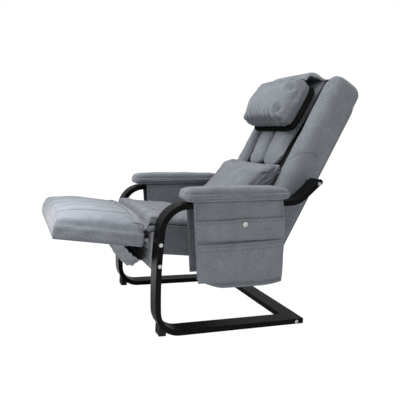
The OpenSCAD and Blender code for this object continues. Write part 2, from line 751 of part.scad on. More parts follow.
module knee_gusset() {
  steps = 44;
  near = [for (i = [0:steps]) let (t = i / steps) sag(t) + ruffle(t) * sag_side(t)];
  far = [for (i = [steps:-1:0]) let (t = i / steps) sag(t) + (ruffle(t) - gusset_t) * sag_side(t)];
  color(fabric_colour) along_x(-gusset_half_w, gusset_half_w) polygon(concat(near, far));
}

// Back: rails, whose upper ends are rounded under the padded shoulders
rail_cover = 6;
rail_end = 9;
rail_top_s = cross_rail_s[2] + cross_rail_h + rail_end;
module rail_block(gap, foot_s) {
  intersection() {
    back_box(back_rail_x - gap, back_rail_x + back_rail_t + gap, rail_d0 - gap, rail_d1 + gap,
      foot_s, rail_top_s + gap);
    rotate([90, 0, 0]) linear_extrude(bolster_d)
      shoulder_outline(seat_half_w - rail_cover + gap, foot_s, back_h - rail_cover + gap,
        shoulder_r - rail_cover + gap);
  }
}
module back_rail() {
  difference() {
    in_back() rail_block(0, back_foot_s);
    at_end_bolt() rod_x(0, frame_out_x, bolt_d / 2 + bolt_gap);
    screw_holes();
  }
}
module back_rail_left() { color(board_colour) back_rail(); }
module back_rail_right() { color(board_colour) mirror([1, 0, 0]) back_rail(); }

rod_s0 = cross_rail_s[1] + cross_rail_h / 2;
rod_s1 = cross_rail_s[2] + cross_rail_h / 2;
screw_s0 = cross_rail_s[1] - cross_rail_h;
module back_cross_rails() {
  color(board_colour) in_back() difference() {
    for (s = cross_rail_s) back_box(-back_rail_x, back_rail_x, rail_d0, rail_d1, s, s + cross_rail_h);
    for (x = [-rod_x, rod_x]) translate([x, -rod_dp, rod_s0])
      cylinder(r = rod_d / 2 + run_gap, h = rod_s1 - rod_s0);
    translate([0, -rod_dp, screw_s0]) cylinder(r = screw_d / 2 + run_gap, h = rod_s1 - screw_s0);
  }
}

// Back: the padded outside
module shoulder_outline(half, s0, s1, r) {
  translate([-half, s0]) square([2 * half, s1 - s0 - r]);
  translate([r - half, s1 - r - overrun]) square([2 * (half - r), r + overrun]);
  for (x = [r - half, half - r]) translate([x, s1 - r]) circle(r, $fn = 96);
}
module back_rear_panel() {
  color(dark_fabric_colour) in_back() rotate([90, 0, 0]) linear_extrude(panel_t - soft_gap)
    shoulder_outline(seat_half_w - cloth_t, back_foot_s + cloth_t, roll_top_s - panel_t, shoulder_r);
}
bolster_share = [
  [0, 0], [0, 0.6], [0.06, 0.78], [0.2, 0.92], [0.42, 0.99], [0.62, 1], [0.82, 0.95], [0.95, 0.84],
  [1, 0.7], [1, 0]
];
bolster_section = [for (p = bolster_share) [p[0] * bolster_w, panel_t + p[1] * (bolster_d - panel_t)]];
function run_ring(s) = [for (p = bolster_section) [seat_half_w - p[0], -p[1], s]];
function turn_ring(a) = [for (p = bolster_section) [
  seat_half_w - shoulder_r + (shoulder_r - p[0]) * cos(a),
  -p[1],
  back_h - shoulder_r + (shoulder_r - p[0]) * sin(a)
]];
bolster_steps = 5;
shoulder_steps = 9;
module bolster() {
  run = back_h - shoulder_r - back_foot_s;
  runs = [for (i = [0:bolster_steps - 1]) run_ring(back_foot_s + i * run / bolster_steps)];
  turns = [for (i = [0:shoulder_steps]) turn_ring(90 * i / shoulder_steps)];
  in_back() difference() {
    skin(concat(runs, turns));
    rail_block(soft_gap, back_foot_s - overrun);
    for (s = cross_rail_s) back_box(0, back_rail_x, rail_d0 - soft_gap, rail_d1 + soft_gap,
      s - soft_gap, s + cross_rail_h + soft_gap);
    back_box(back_rail_x - 3 * plate_t, back_rail_x, rail_d0 - 2 * plate_t, bolster_d + overrun,
      back_foot_s - overrun, plate_back_s[1] + 3 * screw_head_r);
    back_box(back_rail_x - bolt_d - plate_t, back_rail_x, back_bolt_d - 1.5 * bolt_d,
      back_bolt_d + 1.5 * bolt_d, back_bolt_s - 1.5 * bolt_d, back_bolt_s + 1.5 * bolt_d);
    translate([0, -back_bolt_d, back_bolt_s]) rod_x(back_rail_x, frame_in_x, spacer_r + soft_gap);
  }
}
module back_bolster_left() { color(fabric_colour) bolster(); }
module back_bolster_right() { color(fabric_colour) mirror([1, 0, 0]) bolster(); }

top_roll_d = pad_back_d - net_t - soft_gap;
module rounded(w, h, r) {
  translate([r, 0]) square([w - 2 * r, h]);
  translate([0, r]) square([w, h - 2 * r]);
  for (x = [r, w - r], y = [r, h - r]) translate([x, y]) circle(r);
}
module back_top_roll() {
  half = seat_half_w - shoulder_r - soft_gap;
  color(fabric_colour) in_back() difference() {
    translate([0, -top_roll_d, hollow_s1]) along_x(-half, half)
      rounded(top_roll_d - panel_t, roll_top_s - hollow_s1, top_roll_h / 3);
    back_box(-seat_half_w, seat_half_w, rail_d0 - soft_gap, rail_d1 + soft_gap,
      hollow_s1 - overrun, cross_rail_s[2] + cross_rail_h + soft_gap);
  }
}
lower_pad_s0 = -58;
module back_lower_pad() {
  half_l = (hollow_s0 - lower_pad_s0) / 2 - soft_gap;
  color(fabric_colour) in_back() translate([0, -lower_pad_back_d, lower_pad_s0 + half_l]) rotate([90, 0, 0])
    soft_block(hollow_half_w - soft_gap, half_l, (lower_pad_d - lower_pad_back_d) * 0.7,
      (lower_pad_d - lower_pad_back_d) * 0.3, 0, soft_gap, 8, 8, 6, [], 1, 0);
}
module back_net() {
  half = hollow_half_w - soft_gap;
  neck = seat_half_w - shoulder_r - soft_gap;
  color(black_colour) in_back() {
    back_box(-half, half, top_roll_d, top_roll_d + net_t, hollow_s0, back_h - shoulder_r);
    back_box(-neck, neck, top_roll_d, top_roll_d + net_t, back_h - shoulder_r - overrun,
      hollow_s1 - soft_gap);
  }
}
lobe_foot = 6;
lobe_drop = 15;
lobe_s0 = hollow_s0 + lobe_foot;
lobe_s1 = back_h - lobe_drop;
lobe_channel_w = 16;
module back_pad() {
  half_l = (lobe_s1 - lobe_s0) / 2;
  color(fabric_colour) in_back() translate([0, -pad_back_d, lobe_s0 + half_l]) rotate([90, 0, 0])
    soft_block(lobe_half_w, half_l, lobe_h / 3, lobe_h * 2 / 3, 0, 2 * cloth_t, 14, 14, 5,
      [0], lobe_channel_w, lobe_h * 0.5);
}

// Head pillow on its flap, which hangs over the top of the back
pillow_drop = 67;
pillow_s0 = back_h - pillow_drop - pillow_l;
pillow_band = pillow_h * 0.34;
pillow_rise = pillow_h * 0.4;
pillow_sink = pillow_h * 0.26;
pillow_back_d = pad_back_d + lobe_h + soft_gap;
module head_pillow() {
  color(fabric_colour) in_back() translate([0, -pillow_back_d - pillow_sink, pillow_s0 + pillow_l / 2])
    rotate([90, 0, 0])
    soft_block(pillow_half_w, pillow_l / 2, pillow_band, pillow_rise, pillow_sink, 3 * cloth_t, 12, 10, 3,
      [], 1, 0);
}
flap_inset = 45;
flap_half_w = pillow_half_w - flap_inset;
flap_t = 13;
flap_tail_t = 8;
flap_tail_l = 90;
flap_s = pillow_s0 + pillow_l + soft_gap;
flap_bend_r = roll_top_s + soft_gap - flap_s;
flap_front_d = pillow_back_d + pillow_sink + pillow_band / 2 - flap_bend_r;
tail_r = 12;
module pillow_flap() {
  tail_d = tail_r - 2 * cloth_t;
  color(fabric_colour) in_back() along_x(-flap_half_w, flap_half_w) {
    translate([-flap_front_d, flap_s]) bend(flap_bend_r + flap_t / 2, flap_t, 90, 180, $fn = 96);
    translate([-flap_front_d, roll_top_s + soft_gap]) square([flap_front_d - tail_d, flap_t]);
    translate([-tail_d, roll_top_s + soft_gap - tail_r]) intersection() {
      difference() {
        circle(tail_r + flap_t);
        circle(tail_r);
      }
      square(2 * tail_r + flap_t);
    }
    translate([tail_r - tail_d, roll_top_s + soft_gap - tail_r - flap_tail_l])
      square([flap_tail_t, flap_tail_l]);
  }
}

// Loose lumbar cushion on the seat, a wedge whose top and bottom are level
lumbar_s0 = 12.6;
lumbar_taper = 0.49;
lumbar_back_d = lower_pad_d + 2 * cloth_t;
module lumbar_cushion() {
  sink = lumbar_h * 0.16;
  lean = tan(back_lean);
  color(fabric_colour) in_back()
    translate([0, -lumbar_back_d - sink, lumbar_s0 + lumbar_l / 2]) rotate([90, 0, 0])
    soft_block(lumbar_half_w, lumbar_l / 2, lumbar_h * 0.68, lumbar_h * 0.16, sink, 3 * cloth_t, 10, 8, 4,
      [], 1, 0, lean, lumbar_taper);
}

// Massage unit
module guide_rods() {
  color(steel_colour) in_back() for (x = [-rod_x, rod_x])
    translate([x, -rod_dp, rod_s0 + overrun]) cylinder(d = rod_d, h = rod_s1 - rod_s0 - 2 * overrun);
}
module lead_screw() {
  color(steel_colour) in_back() translate([0, -rod_dp, screw_s0 + overrun])
    cylinder(d = screw_d, h = rod_s1 - screw_s0 - 2 * overrun);
}
motor_r = 26;
motor_l = 78;
module lift_motor() {
  s1 = cross_rail_s[1] - soft_gap;
  color(plastic_colour) in_back() translate([0, -rod_dp, s1 - motor_l]) difference() {
    cylinder(r = motor_r, h = motor_l);
    translate([0, 0, motor_l - cross_rail_h])
      cylinder(r = screw_d / 2 + run_gap, h = cross_rail_h + overrun);
  }
}
carriage_d0 = rod_dp - carriage_t / 2;
carriage_d1 = rod_dp + carriage_t / 2;
lug_t = 12;
lug_gap = 4;
lug_x = hub_x1 + lug_gap;
bush_r = rod_d / 2 + bush_t;
nut_r = screw_d / 2 + bush_t;
module carriage() {
  half = rod_x + bush_r + bush_t;
  s0 = carriage_s - carriage_h / 2;
  s1 = carriage_s + carriage_h / 2;
  color(plastic_colour) in_back() difference() {
    union() {
      back_box(-half, half, carriage_d0, carriage_d1, s0, s1);
      both_sides() back_box(lug_x, lug_x + lug_t, carriage_d1, shaft_dp + hub_r, carriage_s - hub_r,
        carriage_s + hub_r);
    }
    for (x = [-rod_x, rod_x]) translate([x, -rod_dp, s0 - overrun])
      cylinder(r = bush_r + run_gap, h = carriage_h + 2 * overrun);
    translate([0, -rod_dp, s0 - overrun]) cylinder(r = nut_r + run_gap, h = carriage_h + 2 * overrun);
    translate([0, -shaft_dp, carriage_s]) rod_x(-frame_in_x, frame_in_x, shaft_d / 2 + run_gap);
  }
}
module sleeve(r_out, r_in, h) {
  difference() {
    cylinder(r = r_out, h = h);
    translate([0, 0, -overrun]) cylinder(r = r_in, h = h + 2 * overrun);
  }
}
module carriage_bushes() {
  low = carriage_s - carriage_h / 2;
  high = carriage_s + carriage_h / 2 - bush_l;
  color("#b08d4c") in_back() {
    for (x = [-rod_x, rod_x], s = [low, high]) translate([x, -rod_dp, s])
      sleeve(bush_r, rod_d / 2 + run_gap, bush_l);
    translate([0, -rod_dp, low]) sleeve(nut_r, screw_d / 2 + run_gap, carriage_h);
  }
}
module kneading_motor() {
  color(black_colour) in_back() difference() {
    back_box(-gear_box[0] / 2, gear_box[0] / 2, carriage_d1, carriage_d1 + gear_box[1],
      carriage_s - gear_box[2] / 2, carriage_s + gear_box[2] / 2);
    translate([0, -shaft_dp, carriage_s]) rod_x(-gear_box[0], gear_box[0], shaft_d / 2 + run_gap);
  }
}
module kneading_shaft() {
  half = lug_x + lug_t + bush_t;
  color(steel_colour) in_back() translate([0, -shaft_dp, carriage_s]) rod_x(-half, half, shaft_d / 2);
}
module at_rollers(v) { in_back() translate([0, -roller_dp, carriage_s + v * arm_reach]) children(); }
module kneading_arms() {
  lean = atan2(arm_reach, roller_dp - shaft_dp);
  color(plastic_colour) both_sides() {
    in_back() translate([0, -shaft_dp, carriage_s]) difference() {
      union() {
        rod_x(hub_x0, hub_x1, hub_r);
        along_x(hub_x0, hub_x0 + arm_plate_t) for (v = [-1, 1])
          rotate(180 - v * lean) translate([0, -hub_r / 2]) square([arm_reach, hub_r]);
      }
      rod_x(0, frame_in_x, shaft_d / 2 + run_gap);
    }
    for (v = [-1, 1]) at_rollers(v) {
      rod_x(hub_x0, hub_x0 + arm_plate_t, hub_r * 0.7);
      rod_x(hub_x0, hub_x1, pin_r);
      rod_x(hub_x1 - bush_t, hub_x1, 1.5 * pin_r);
    }
  }
}
roller_x = hub_x0 + arm_plate_t + bush_t;
module roller(v) {
  edge_r = roller_w / 4;
  bore_r = pin_r + run_gap;
  at_rollers(v) translate([roller_x, 0, 0]) rotate([0, 90, 0]) rotate_extrude() difference() {
    union() {
      translate([bore_r, 0]) square([roller_d / 2 - edge_r - bore_r, roller_w]);
      translate([bore_r, edge_r]) square([roller_d / 2 - bore_r, roller_w - 2 * edge_r]);
      for (z = [edge_r, roller_w - edge_r]) translate([roller_d / 2 - edge_r, z]) circle(edge_r);
    }
    translate([-roller_d, 0]) square([roller_d, roller_w]);
  }
}
module roller_upper_left() { color(black_colour) roller(1); }
module roller_upper_right() { color(black_colour) mirror([1, 0, 0]) roller(1); }
module roller_lower_left() { color(black_colour) roller(-1); }
module roller_lower_right() { color(black_colour) mirror([1, 0, 0]) roller(-1); }

// Power supply in front of the seat's rear rail, and its inlet socket behind the rail
supply = [150, 62, 46];
inlet = [48, 14, 28];
module power_supply() {
  z = rear_rail_z + (rear_rail_h - supply[2]) / 2;
  color(black_colour) in_seat() {
    translate([-supply[0] / 2, rear_rail_y - supply[1], z]) cube(supply);
    translate([-inlet[0] / 2, rear_rail_y + rear_rail_t, z]) difference() {
      cube(inlet);
      translate([inlet[0] / 6, inlet[1] / 3, inlet[2] / 6])
        cube([inlet[0] * 2 / 3, inlet[1], inlet[2] * 2 / 3]);
    }
  }
}

side_frame_left();
side_frame_right();
rear_floor_bar();
front_cross_board();
front_foot_blocks();
frame_bolts();
arm_end_bolts();
frame_nuts();
arm_spacers();
arm_pad_left();
arm_pad_right();
arm_cover_left();
arm_cover_right();
upper_pocket_left();
upper_pocket_right();
lower_pocket_left();
lower_pocket_right();
pocket_snaps();
seat_rail_left();
seat_rail_right();
seat_rear_rail();
seat_front_roll();
seat_webbing();
seat_dust_cover();
seat_cushion();
seat_back_plates();
seat_back_screws();
hinge_fixed_leaves();
hinge_pins();
hinge_moving_leaves();
leg_rest_board();
leg_rest_cushion();
knee_gusset();
back_rail_left();
back_rail_right();
back_cross_rails();
back_rear_panel();
back_bolster_left();
back_bolster_right();
back_top_roll();
back_lower_pad();
back_net();
back_pad();
head_pillow();
pillow_flap();
lumbar_cushion();
guide_rods();
lead_screw();
lift_motor();
carriage();
carriage_bushes();
kneading_motor();
kneading_shaft();
kneading_arms();
roller_upper_left();
roller_upper_right();
roller_lower_left();
roller_lower_right();
power_supply();
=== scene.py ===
import json
import math

import bmesh
import bpy
import numpy as np
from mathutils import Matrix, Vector, noise
from mathutils.bvhtree import BVHTree

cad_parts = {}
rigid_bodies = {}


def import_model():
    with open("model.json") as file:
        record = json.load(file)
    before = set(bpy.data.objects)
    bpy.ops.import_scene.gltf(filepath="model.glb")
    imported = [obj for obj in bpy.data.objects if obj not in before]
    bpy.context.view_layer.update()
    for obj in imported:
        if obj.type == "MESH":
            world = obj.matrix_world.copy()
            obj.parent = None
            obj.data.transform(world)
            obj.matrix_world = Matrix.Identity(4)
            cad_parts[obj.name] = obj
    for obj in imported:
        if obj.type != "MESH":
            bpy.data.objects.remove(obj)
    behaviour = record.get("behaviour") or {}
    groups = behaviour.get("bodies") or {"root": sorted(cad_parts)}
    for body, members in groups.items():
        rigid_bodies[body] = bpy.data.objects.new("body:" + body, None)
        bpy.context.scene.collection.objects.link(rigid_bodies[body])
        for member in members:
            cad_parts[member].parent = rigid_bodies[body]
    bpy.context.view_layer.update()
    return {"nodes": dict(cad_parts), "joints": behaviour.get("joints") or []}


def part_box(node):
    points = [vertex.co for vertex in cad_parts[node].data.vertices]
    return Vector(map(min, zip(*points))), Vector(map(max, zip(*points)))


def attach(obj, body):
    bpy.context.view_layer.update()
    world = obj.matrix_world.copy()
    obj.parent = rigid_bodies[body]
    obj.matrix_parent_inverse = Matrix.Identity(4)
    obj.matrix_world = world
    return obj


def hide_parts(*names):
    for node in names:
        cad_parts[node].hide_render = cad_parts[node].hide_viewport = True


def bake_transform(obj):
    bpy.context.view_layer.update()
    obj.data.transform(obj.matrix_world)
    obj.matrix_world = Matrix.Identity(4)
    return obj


for thing in list(bpy.data.objects):
    bpy.data.objects.remove(thing)
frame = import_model()

# Camera
# It stands to the front of the chair's left side, a little above the arm pads, and looks slightly down.
camera = bpy.data.objects.new("camera", bpy.data.cameras.new("camera"))
camera.location = (1.9584, -1.1314, 0.7331)
camera.rotation_euler = [math.radians(turn) for turn in (83.045, -3.554, 68.070)]
camera.data.lens = 42.39
camera.data.sensor_width = 36
bpy.context.scene.collection.objects.link(camera)
bpy.context.scene.camera = camera
bpy.context.scene.view_settings.view_transform = "Standard"

# Studio
# A pale floor in a white room, with a soft spot over the leg rest and a broad lamp above the chair's front.
# The floor is white to the camera, apart from the chair's faint shadow.
room_light = 0.59
room_seen_in_gloss = 0.40
spot_lamp = {
    "place": (0.42, -0.95, 2.55), "aim": (0.14, -1.02, 0.42), "radius": 0.25, "cone": 20, "power": 345}
fill_lamp = {"place": (0.2, -1.9, 3.2), "aim": (0.0, 0.0, 0.75), "size": 2.0, "power": 90}
floor_size = 12.0
floor_grey = 0.86
floor_white = 0.92
floor_glow = 1.09
floor_seen_in_gloss = 0.12


def add_node(tree, kind, inputs=None, **settings):
    """Adds a node, sets its settings and its inputs, and links those inputs that are sockets."""
    made = tree.nodes.new(kind)
    for name, value in settings.items():
        setattr(made, name, value)
    for name, value in (inputs or {}).items():
        if isinstance(value, bpy.types.NodeSocket):
            tree.links.new(value, made.inputs[name])
        else:
            made.inputs[name].default_value = value
    return made


def arithmetic(tree, operation, *values):
    """One Math node's output."""
    return add_node(tree, "ShaderNodeMath", dict(enumerate(values)), operation=operation).outputs[0]


room = bpy.data.worlds.new("studio_room")
room.use_nodes = True
tree = room.node_tree
tree.nodes.clear()
rays = add_node(tree, "ShaderNodeLightPath").outputs
dimmed = room_seen_in_gloss - room_light
strength = arithmetic(tree, "MULTIPLY_ADD", rays["Is Glossy Ray"], dimmed, room_light)
strength = arithmetic(tree, "MULTIPLY_ADD", rays["Is Camera Ray"], 1 - room_light, strength)
air = add_node(tree, "ShaderNodeBackground", {"Color": (1, 1, 1, 1), "Strength": strength})
add_node(tree, "ShaderNodeOutputWorld", {"Surface": air.outputs[0]})
bpy.context.scene.world = room

for lamp_name, kind, lamp in (("spot_lamp", "SPOT", spot_lamp), ("fill_lamp", "AREA", fill_lamp)):
    light = bpy.data.lights.new(lamp_name, kind)
    light.energy = lamp["power"]
    if kind == "SPOT":
        light.shadow_soft_size = lamp["radius"]
        light.spot_size = math.radians(lamp["cone"])
        light.spot_blend = 1.0
    else:
        light.size = lamp["size"]
    holder = bpy.data.objects.new(lamp_name, light)
    holder.visible_camera = False
    holder.location = lamp["place"]
    holder.rotation_euler = (Vector(lamp["aim"]) - Vector(lamp["place"])).to_track_quat("-Z", "Y").to_euler()
    bpy.context.scene.collection.objects.link(holder)

floor_mesh = bpy.data.meshes.new("floor")
floor_edge = floor_size / 2
floor_corners = [(x * floor_edge, y * floor_edge, 0) for x, y in ((-1, -1), (1, -1), (1, 1), (-1, 1))]
floor_mesh.from_pydata(floor_corners, [], [(0, 1, 2, 3)])
floor = bpy.data.objects.new("floor", floor_mesh)
bpy.context.scene.collection.objects.link(floor)
paper = bpy.data.materials.new("floor_paper")
paper.use_nodes = True
tree = paper.node_tree
tree.nodes.clear()
rays = add_node(tree, "ShaderNodeLightPath").outputs
matt = add_node(tree, "ShaderNodeBsdfDiffuse", {"Color": (*[floor_grey] * 3, 1)}).outputs[0]
white = add_node(tree, "ShaderNodeEmission", {"Color": (1, 1, 1, 1), "Strength": floor_glow}).outputs[0]
whiteness = arithmetic(tree, "MULTIPLY", rays["Is Glossy Ray"], floor_seen_in_gloss)
whiteness = arithmetic(tree, "MULTIPLY_ADD", rays["Is Camera Ray"], floor_white, whiteness)
face = add_node(tree, "ShaderNodeMixShader", {0: whiteness, 1: matt, 2: white})
add_node(tree, "ShaderNodeOutputMaterial", {"Surface": face.outputs[0]})
floor_mesh.materials.append(paper)

# Bent wood side frames, rear floor bar and feet
# Each frame is one strip of laminated beech, pressed to shape and sprayed with satin black lacquer.
# The bar between the floor rails is bolted on, and two rubber-faced blocks fill the front bends.
strip_edge = 0.0022
bar_edge = 0.0018
foot_edge = 0.0015
sharp_turn = math.radians(38)
weld_reach = 0.00002


def surface(name, colour, roughness, level=0.5, metal=0.0):
    """A new material with its Principled shader: (material, tree, shader)."""
    made = bpy.data.materials.new(name)
    made.use_nodes = True
    tree = made.node_tree
    tree.nodes.clear()
    shader = add_node(tree, "ShaderNodeBsdfPrincipled", {
        "Base Color": (*colour, 1), "Roughness": roughness, "Specular IOR Level": level, "Metallic": metal})
    add_node(tree, "ShaderNodeOutputMaterial", {"Surface": shader.outputs[0]})
    return made, tree, shader


def grain(tree, scale, stretch=(1, 1, 1), detail=2.0):
    """Noise over the piece's own place, drawn out along an axis by stretch."""
    place = add_node(tree, "ShaderNodeTexCoord").outputs["Object"]
    drawn = add_node(tree, "ShaderNodeMapping", {"Vector": place, "Scale": stretch}).outputs[0]
    field = add_node(tree, "ShaderNodeTexNoise", {"Vector": drawn, "Scale": scale, "Detail": detail})
    return field.outputs["Fac"]


def spread_over(tree, field, low, high):
    """A field from 0 to 1 as a value from low to high."""
    return add_node(tree, "ShaderNodeMapRange", {
        "Value": field, "From Min": 0.25, "From Max": 0.75, "To Min": low, "To Max": high}).outputs[0]


def shaded(tree, field, dark, light):
    """A field from 0 to 1 as a colour between dark and light."""
    mixed = add_node(tree, "ShaderNodeMix", {"Factor": field}, data_type="RGBA")
    mixed.inputs[6].default_value = (*dark, 1)
    mixed.inputs[7].default_value = (*light, 1)
    return mixed.outputs[2]


def raise_by(tree, shader, field, height, strength):
    """Raises the shader's surface by a field, height metres in all."""
    bump = add_node(tree, "ShaderNodeBump", {"Height": field, "Distance": height, "Strength": strength})
    tree.links.new(bump.outputs[0], shader.inputs["Normal"])


def fine_grained(name, colour, roughness, scale, height, strength, gloss=None, **more):
    """A plain finish with a fine grain, whose gloss varies as gloss says: (scale, low, high)."""
    made, tree, shader = surface(name, colour, roughness, **more)
    if gloss:
        tree.links.new(spread_over(tree, grain(tree, gloss[0]), *gloss[1:]), shader.inputs["Roughness"])
    raise_by(tree, shader, grain(tree, scale), height, strength)
    return made


lacquer, tree, shader = surface("satin_black_lacquer", (0.003, 0.003, 0.004), 0.3, level=0.09)
pores = grain(tree, 420, (1, 0.06, 0.06))
orange_peel = grain(tree, 160)
tree.links.new(spread_over(tree, orange_peel, 0.24, 0.38), shader.inputs["Roughness"])
pore_tone = shaded(tree, pores, (0.002, 0.002, 0.002), (0.004, 0.004, 0.005))
tree.links.new(pore_tone, shader.inputs["Base Color"])
raise_by(tree, shader, pores, 0.00012, 0.5)


def dress(node, finish, edge=0.0):
    """Gives a CAD node its finish, and breaks its sharp edges by edge metres."""
    piece = frame["nodes"][node]
    for place in piece.material_slots:
        place.link = "OBJECT"
        place.material = finish
    if edge:
        weld = piece.modifiers.new("joined_faces", "WELD")
        weld.merge_threshold = weld_reach
        broken = piece.modifiers.new("broken_edges", "BEVEL")
        broken.limit_method = "ANGLE"
        broken.angle_limit = sharp_turn
        broken.width = edge
        broken.segments = 3
        broken.harden_normals = True


for node in ("side_frame_left", "side_frame_right"):
    dress(node, lacquer, strip_edge)
dress("rear_floor_bar", lacquer, bar_edge)
foot_rubber = fine_grained("foot_rubber", (0.012, 0.012, 0.013), 0.75, 900, 0.0002, 0.6, level=0.3)
dress("front_foot_blocks", foot_rubber, foot_edge)

# Bolts, nuts, spacers and the plates behind the seat
# M8 socket screws with round zinc plated heads go through the frames into barrel nuts.
# Black moulded spacers keep the arms off the back.
head_edge = 0.0008
nut_edge = 0.0005
zinc = fine_grained(
    "zinc_plate", (0.62, 0.63, 0.64), 0.28, 2200, 0.00003, 0.5, gloss=(1400, 0.2, 0.36), metal=1.0)
for node in ("frame_bolts", "arm_end_bolts"):
    dress(node, zinc, head_edge)
for node in ("frame_nuts", "seat_back_plates", "seat_back_screws"):
    dress(node, zinc, nut_edge)
moulded = fine_grained("black_moulding", (0.014, 0.014, 0.015), 0.5, 1500, 0.00008, 0.6, level=0.4)
dress("arm_spacers", moulded, head_edge)

# Front board
# A plywood board covered in the chair's own cloth, screwed between the legs below the knee.
# The cloth is a short-napped polyester weave in mid blue-grey, the same all over the chair.
cloth_grey = (0.194, 0.211, 0.236)
# A darker copy of the same cloth is painted shade, for the pieces that lie under or behind the rest.
cloth_painted_shade = (0.160, 0.173, 0.195)
# seam_shade is how dark the painted shade in sewn channels, creases and folds gets.
seam_shade = 0.42
mottle = {"clouds": (16, 2.0, 0.25), "flecks": (150, 2.0, 0.42), "fibres": (430, 3.0, 0.33)}
mottle_contrast = 0.24
thread_scale = 640.0
fleck_relief = 2.2
weave_h = 0.00045
board_edge = 0.004


def napped_cloth(name, colour):
    """Short-napped woven cloth with painted shade where the attribute seam says that it is drawn in."""
    made, tree, shader = surface(name, colour, 0.92, level=0.22)
    shader.inputs["Sheen Weight"].default_value = 0.25
    shader.inputs["Sheen Roughness"].default_value = 0.45
    fields = {part: grain(tree, scale, detail=detail) for part, (scale, detail, share) in mottle.items()}
    mixed = 0.0
    for part, (scale, detail, share) in mottle.items():
        mixed = arithmetic(tree, "MULTIPLY_ADD", fields[part], share, mixed)
    lit = add_node(tree, "ShaderNodeMapRange", {
        "Value": mixed, "From Min": 0.36, "From Max": 0.64, "To Min": 0.0, "To Max": 1.0}).outputs[0]
    dark = [c * (1 - mottle_contrast) for c in colour]
    light = [c * (1 + mottle_contrast) for c in colour]
    tone = shaded(tree, lit, dark, light)
    # The seam attribute paints shade into the colour, in the cloth's sewn channels, creases and folds.
    seam_shade_share = add_node(tree, "ShaderNodeAttribute", attribute_name="seam").outputs["Fac"]
    shade = arithmetic(tree, "MULTIPLY_ADD", seam_shade_share, -seam_shade, 1.0)
    tinted = add_node(tree, "ShaderNodeVectorMath", {0: tone, "Scale": shade}, operation="SCALE").outputs[0]
    tree.links.new(tinted, shader.inputs["Base Color"])
    place = add_node(tree, "ShaderNodeTexCoord").outputs["Object"]
    threads = add_node(
        tree, "ShaderNodeTexVoronoi", {"Vector": place, "Scale": thread_scale}).outputs["Distance"]
    relief = arithmetic(tree, "MULTIPLY_ADD", fields["flecks"], fleck_relief, threads)
    raise_by(tree, shader, relief, weave_h, 0.8)
    return made


chair_cloth = napped_cloth("blue_grey_cloth", cloth_grey)
shaded_cloth = napped_cloth("blue_grey_cloth_painted_shade", cloth_painted_shade)
# The front board gets the darker copy of the cloth: painted shade under the knee.
dress("front_cross_board", shaded_cloth, board_edge)

# Seat rails, rear rail, front roll, webbing and dust cover
# Two cloth-covered rails carry woven webbing, and a foam roll softens the seat's front edge.
# A thin black cloth closes the seat's underside.
seat_tilt = math.radians(5)
rail_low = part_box("seat_rail_left")[0]
rail_edge = 0.003
seat_rail_l = 0.394
seat_y = rail_low.y
seat_z = rail_low.z + seat_rail_l * math.sin(seat_tilt)
strap_count = 6
strap_w = 0.05
strap_t = 0.002
strap_z = 0.112
strap_sag = 0.006


def in_seat(x, y, z):
    """Points from the seat's own frame: y runs rearwards along the rails, z up from their foot."""
    return np.column_stack([
        np.broadcast_to(x, np.shape(y)), seat_y + y * math.cos(seat_tilt) + z * math.sin(seat_tilt),
        seat_z - y * math.sin(seat_tilt) + z * math.cos(seat_tilt)])


def make_piece(name, points, faces, finish=chair_cloth):
    """A smooth mesh piece with its faces turned outwards."""
    mesh = bpy.data.meshes.new(name)
    mesh.from_pydata(np.asarray(points, float).tolist(), [], faces)
    work = bmesh.new()
    work.from_mesh(mesh)
    bmesh.ops.recalc_face_normals(work, faces=work.faces)
    work.to_mesh(mesh)
    work.free()
    mesh.shade_smooth()
    mesh.materials.append(finish)
    piece = bpy.data.objects.new(name, mesh)
    bpy.context.scene.collection.objects.link(piece)
    return piece


def block_skin(across, along, up):
    """Corners, in -1 to 1, and faces of the skin of a block cut into across x along x up cells."""
    cells = (across, along, up)
    index, corners, faces = {}, [], []

    def corner(spot):
        if spot not in index:
            index[spot] = len(corners)
            corners.append([2 * spot[a] / cells[a] - 1 for a in range(3)])
        return index[spot]

    for a in range(3):
        b, c = (a + 1) % 3, (a + 2) % 3
        for end in (0, cells[a]):
            for i in range(cells[b]):
                for j in range(cells[c]):
                    loop = []
                    for di, dj in ((0, 0), (1, 0), (1, 1), (0, 1)):
                        spot = [0, 0, 0]
                        spot[a], spot[b], spot[c] = end, i + di, j + dj
                        loop.append(corner(tuple(spot)))
                    faces.append(loop if end else loop[::-1])
    return np.array(corners), faces


tiny = 1e-9


def rounded_block(corners, half, radius):
    """Block corners at real size, with edges rounded by radius, which is one number or one per corner."""
    box = corners * half
    limit = np.asarray(half)[None, :] - np.broadcast_to(radius, (len(box),))[:, None]
    core = np.clip(box, -limit, limit)
    off = box - core
    length = np.linalg.norm(off, axis=1)
    near = np.maximum(length, tiny)
    return core + off * np.where(length > tiny, np.broadcast_to(radius, near.shape) / near, 0)[:, None]


def crown(u, v, power, along=None):
    """1 in the middle of a face and 0 at its edges, with its own power along v where one is given."""
    return np.sqrt(np.clip((1 - np.abs(u) ** power) * (1 - np.abs(v) ** (along or power)), 0, 1))


def stuffed(corners, half, band, rise, sink, radius, tuck, power, along=None):
    """A stuffed block on z 0: side band high, faces crowned by rise and sink, and sides tucked in."""
    u, v, w = corners.T
    x, y, z = rounded_block(corners, (half[0], half[1], band / 2), radius).T
    full = crown(u, v, power, along)
    x = x * (1 - tuck / half[0] * (1 - v * v))
    y = y * (1 - tuck / half[1] * (1 - u * u))
    z = z + band / 2 + full * np.where(w > 0, rise * w, sink * w)
    return x, y, z


def rumple(points, size, seed):
    """Soft noise from about -0.5 to 0.5 over points, with lumps of about size metres."""
    shift = Vector((seed * 7.3, seed * 3.1, seed * 5.7))
    return np.array([noise.noise(Vector(p) / size + shift) for p in points])


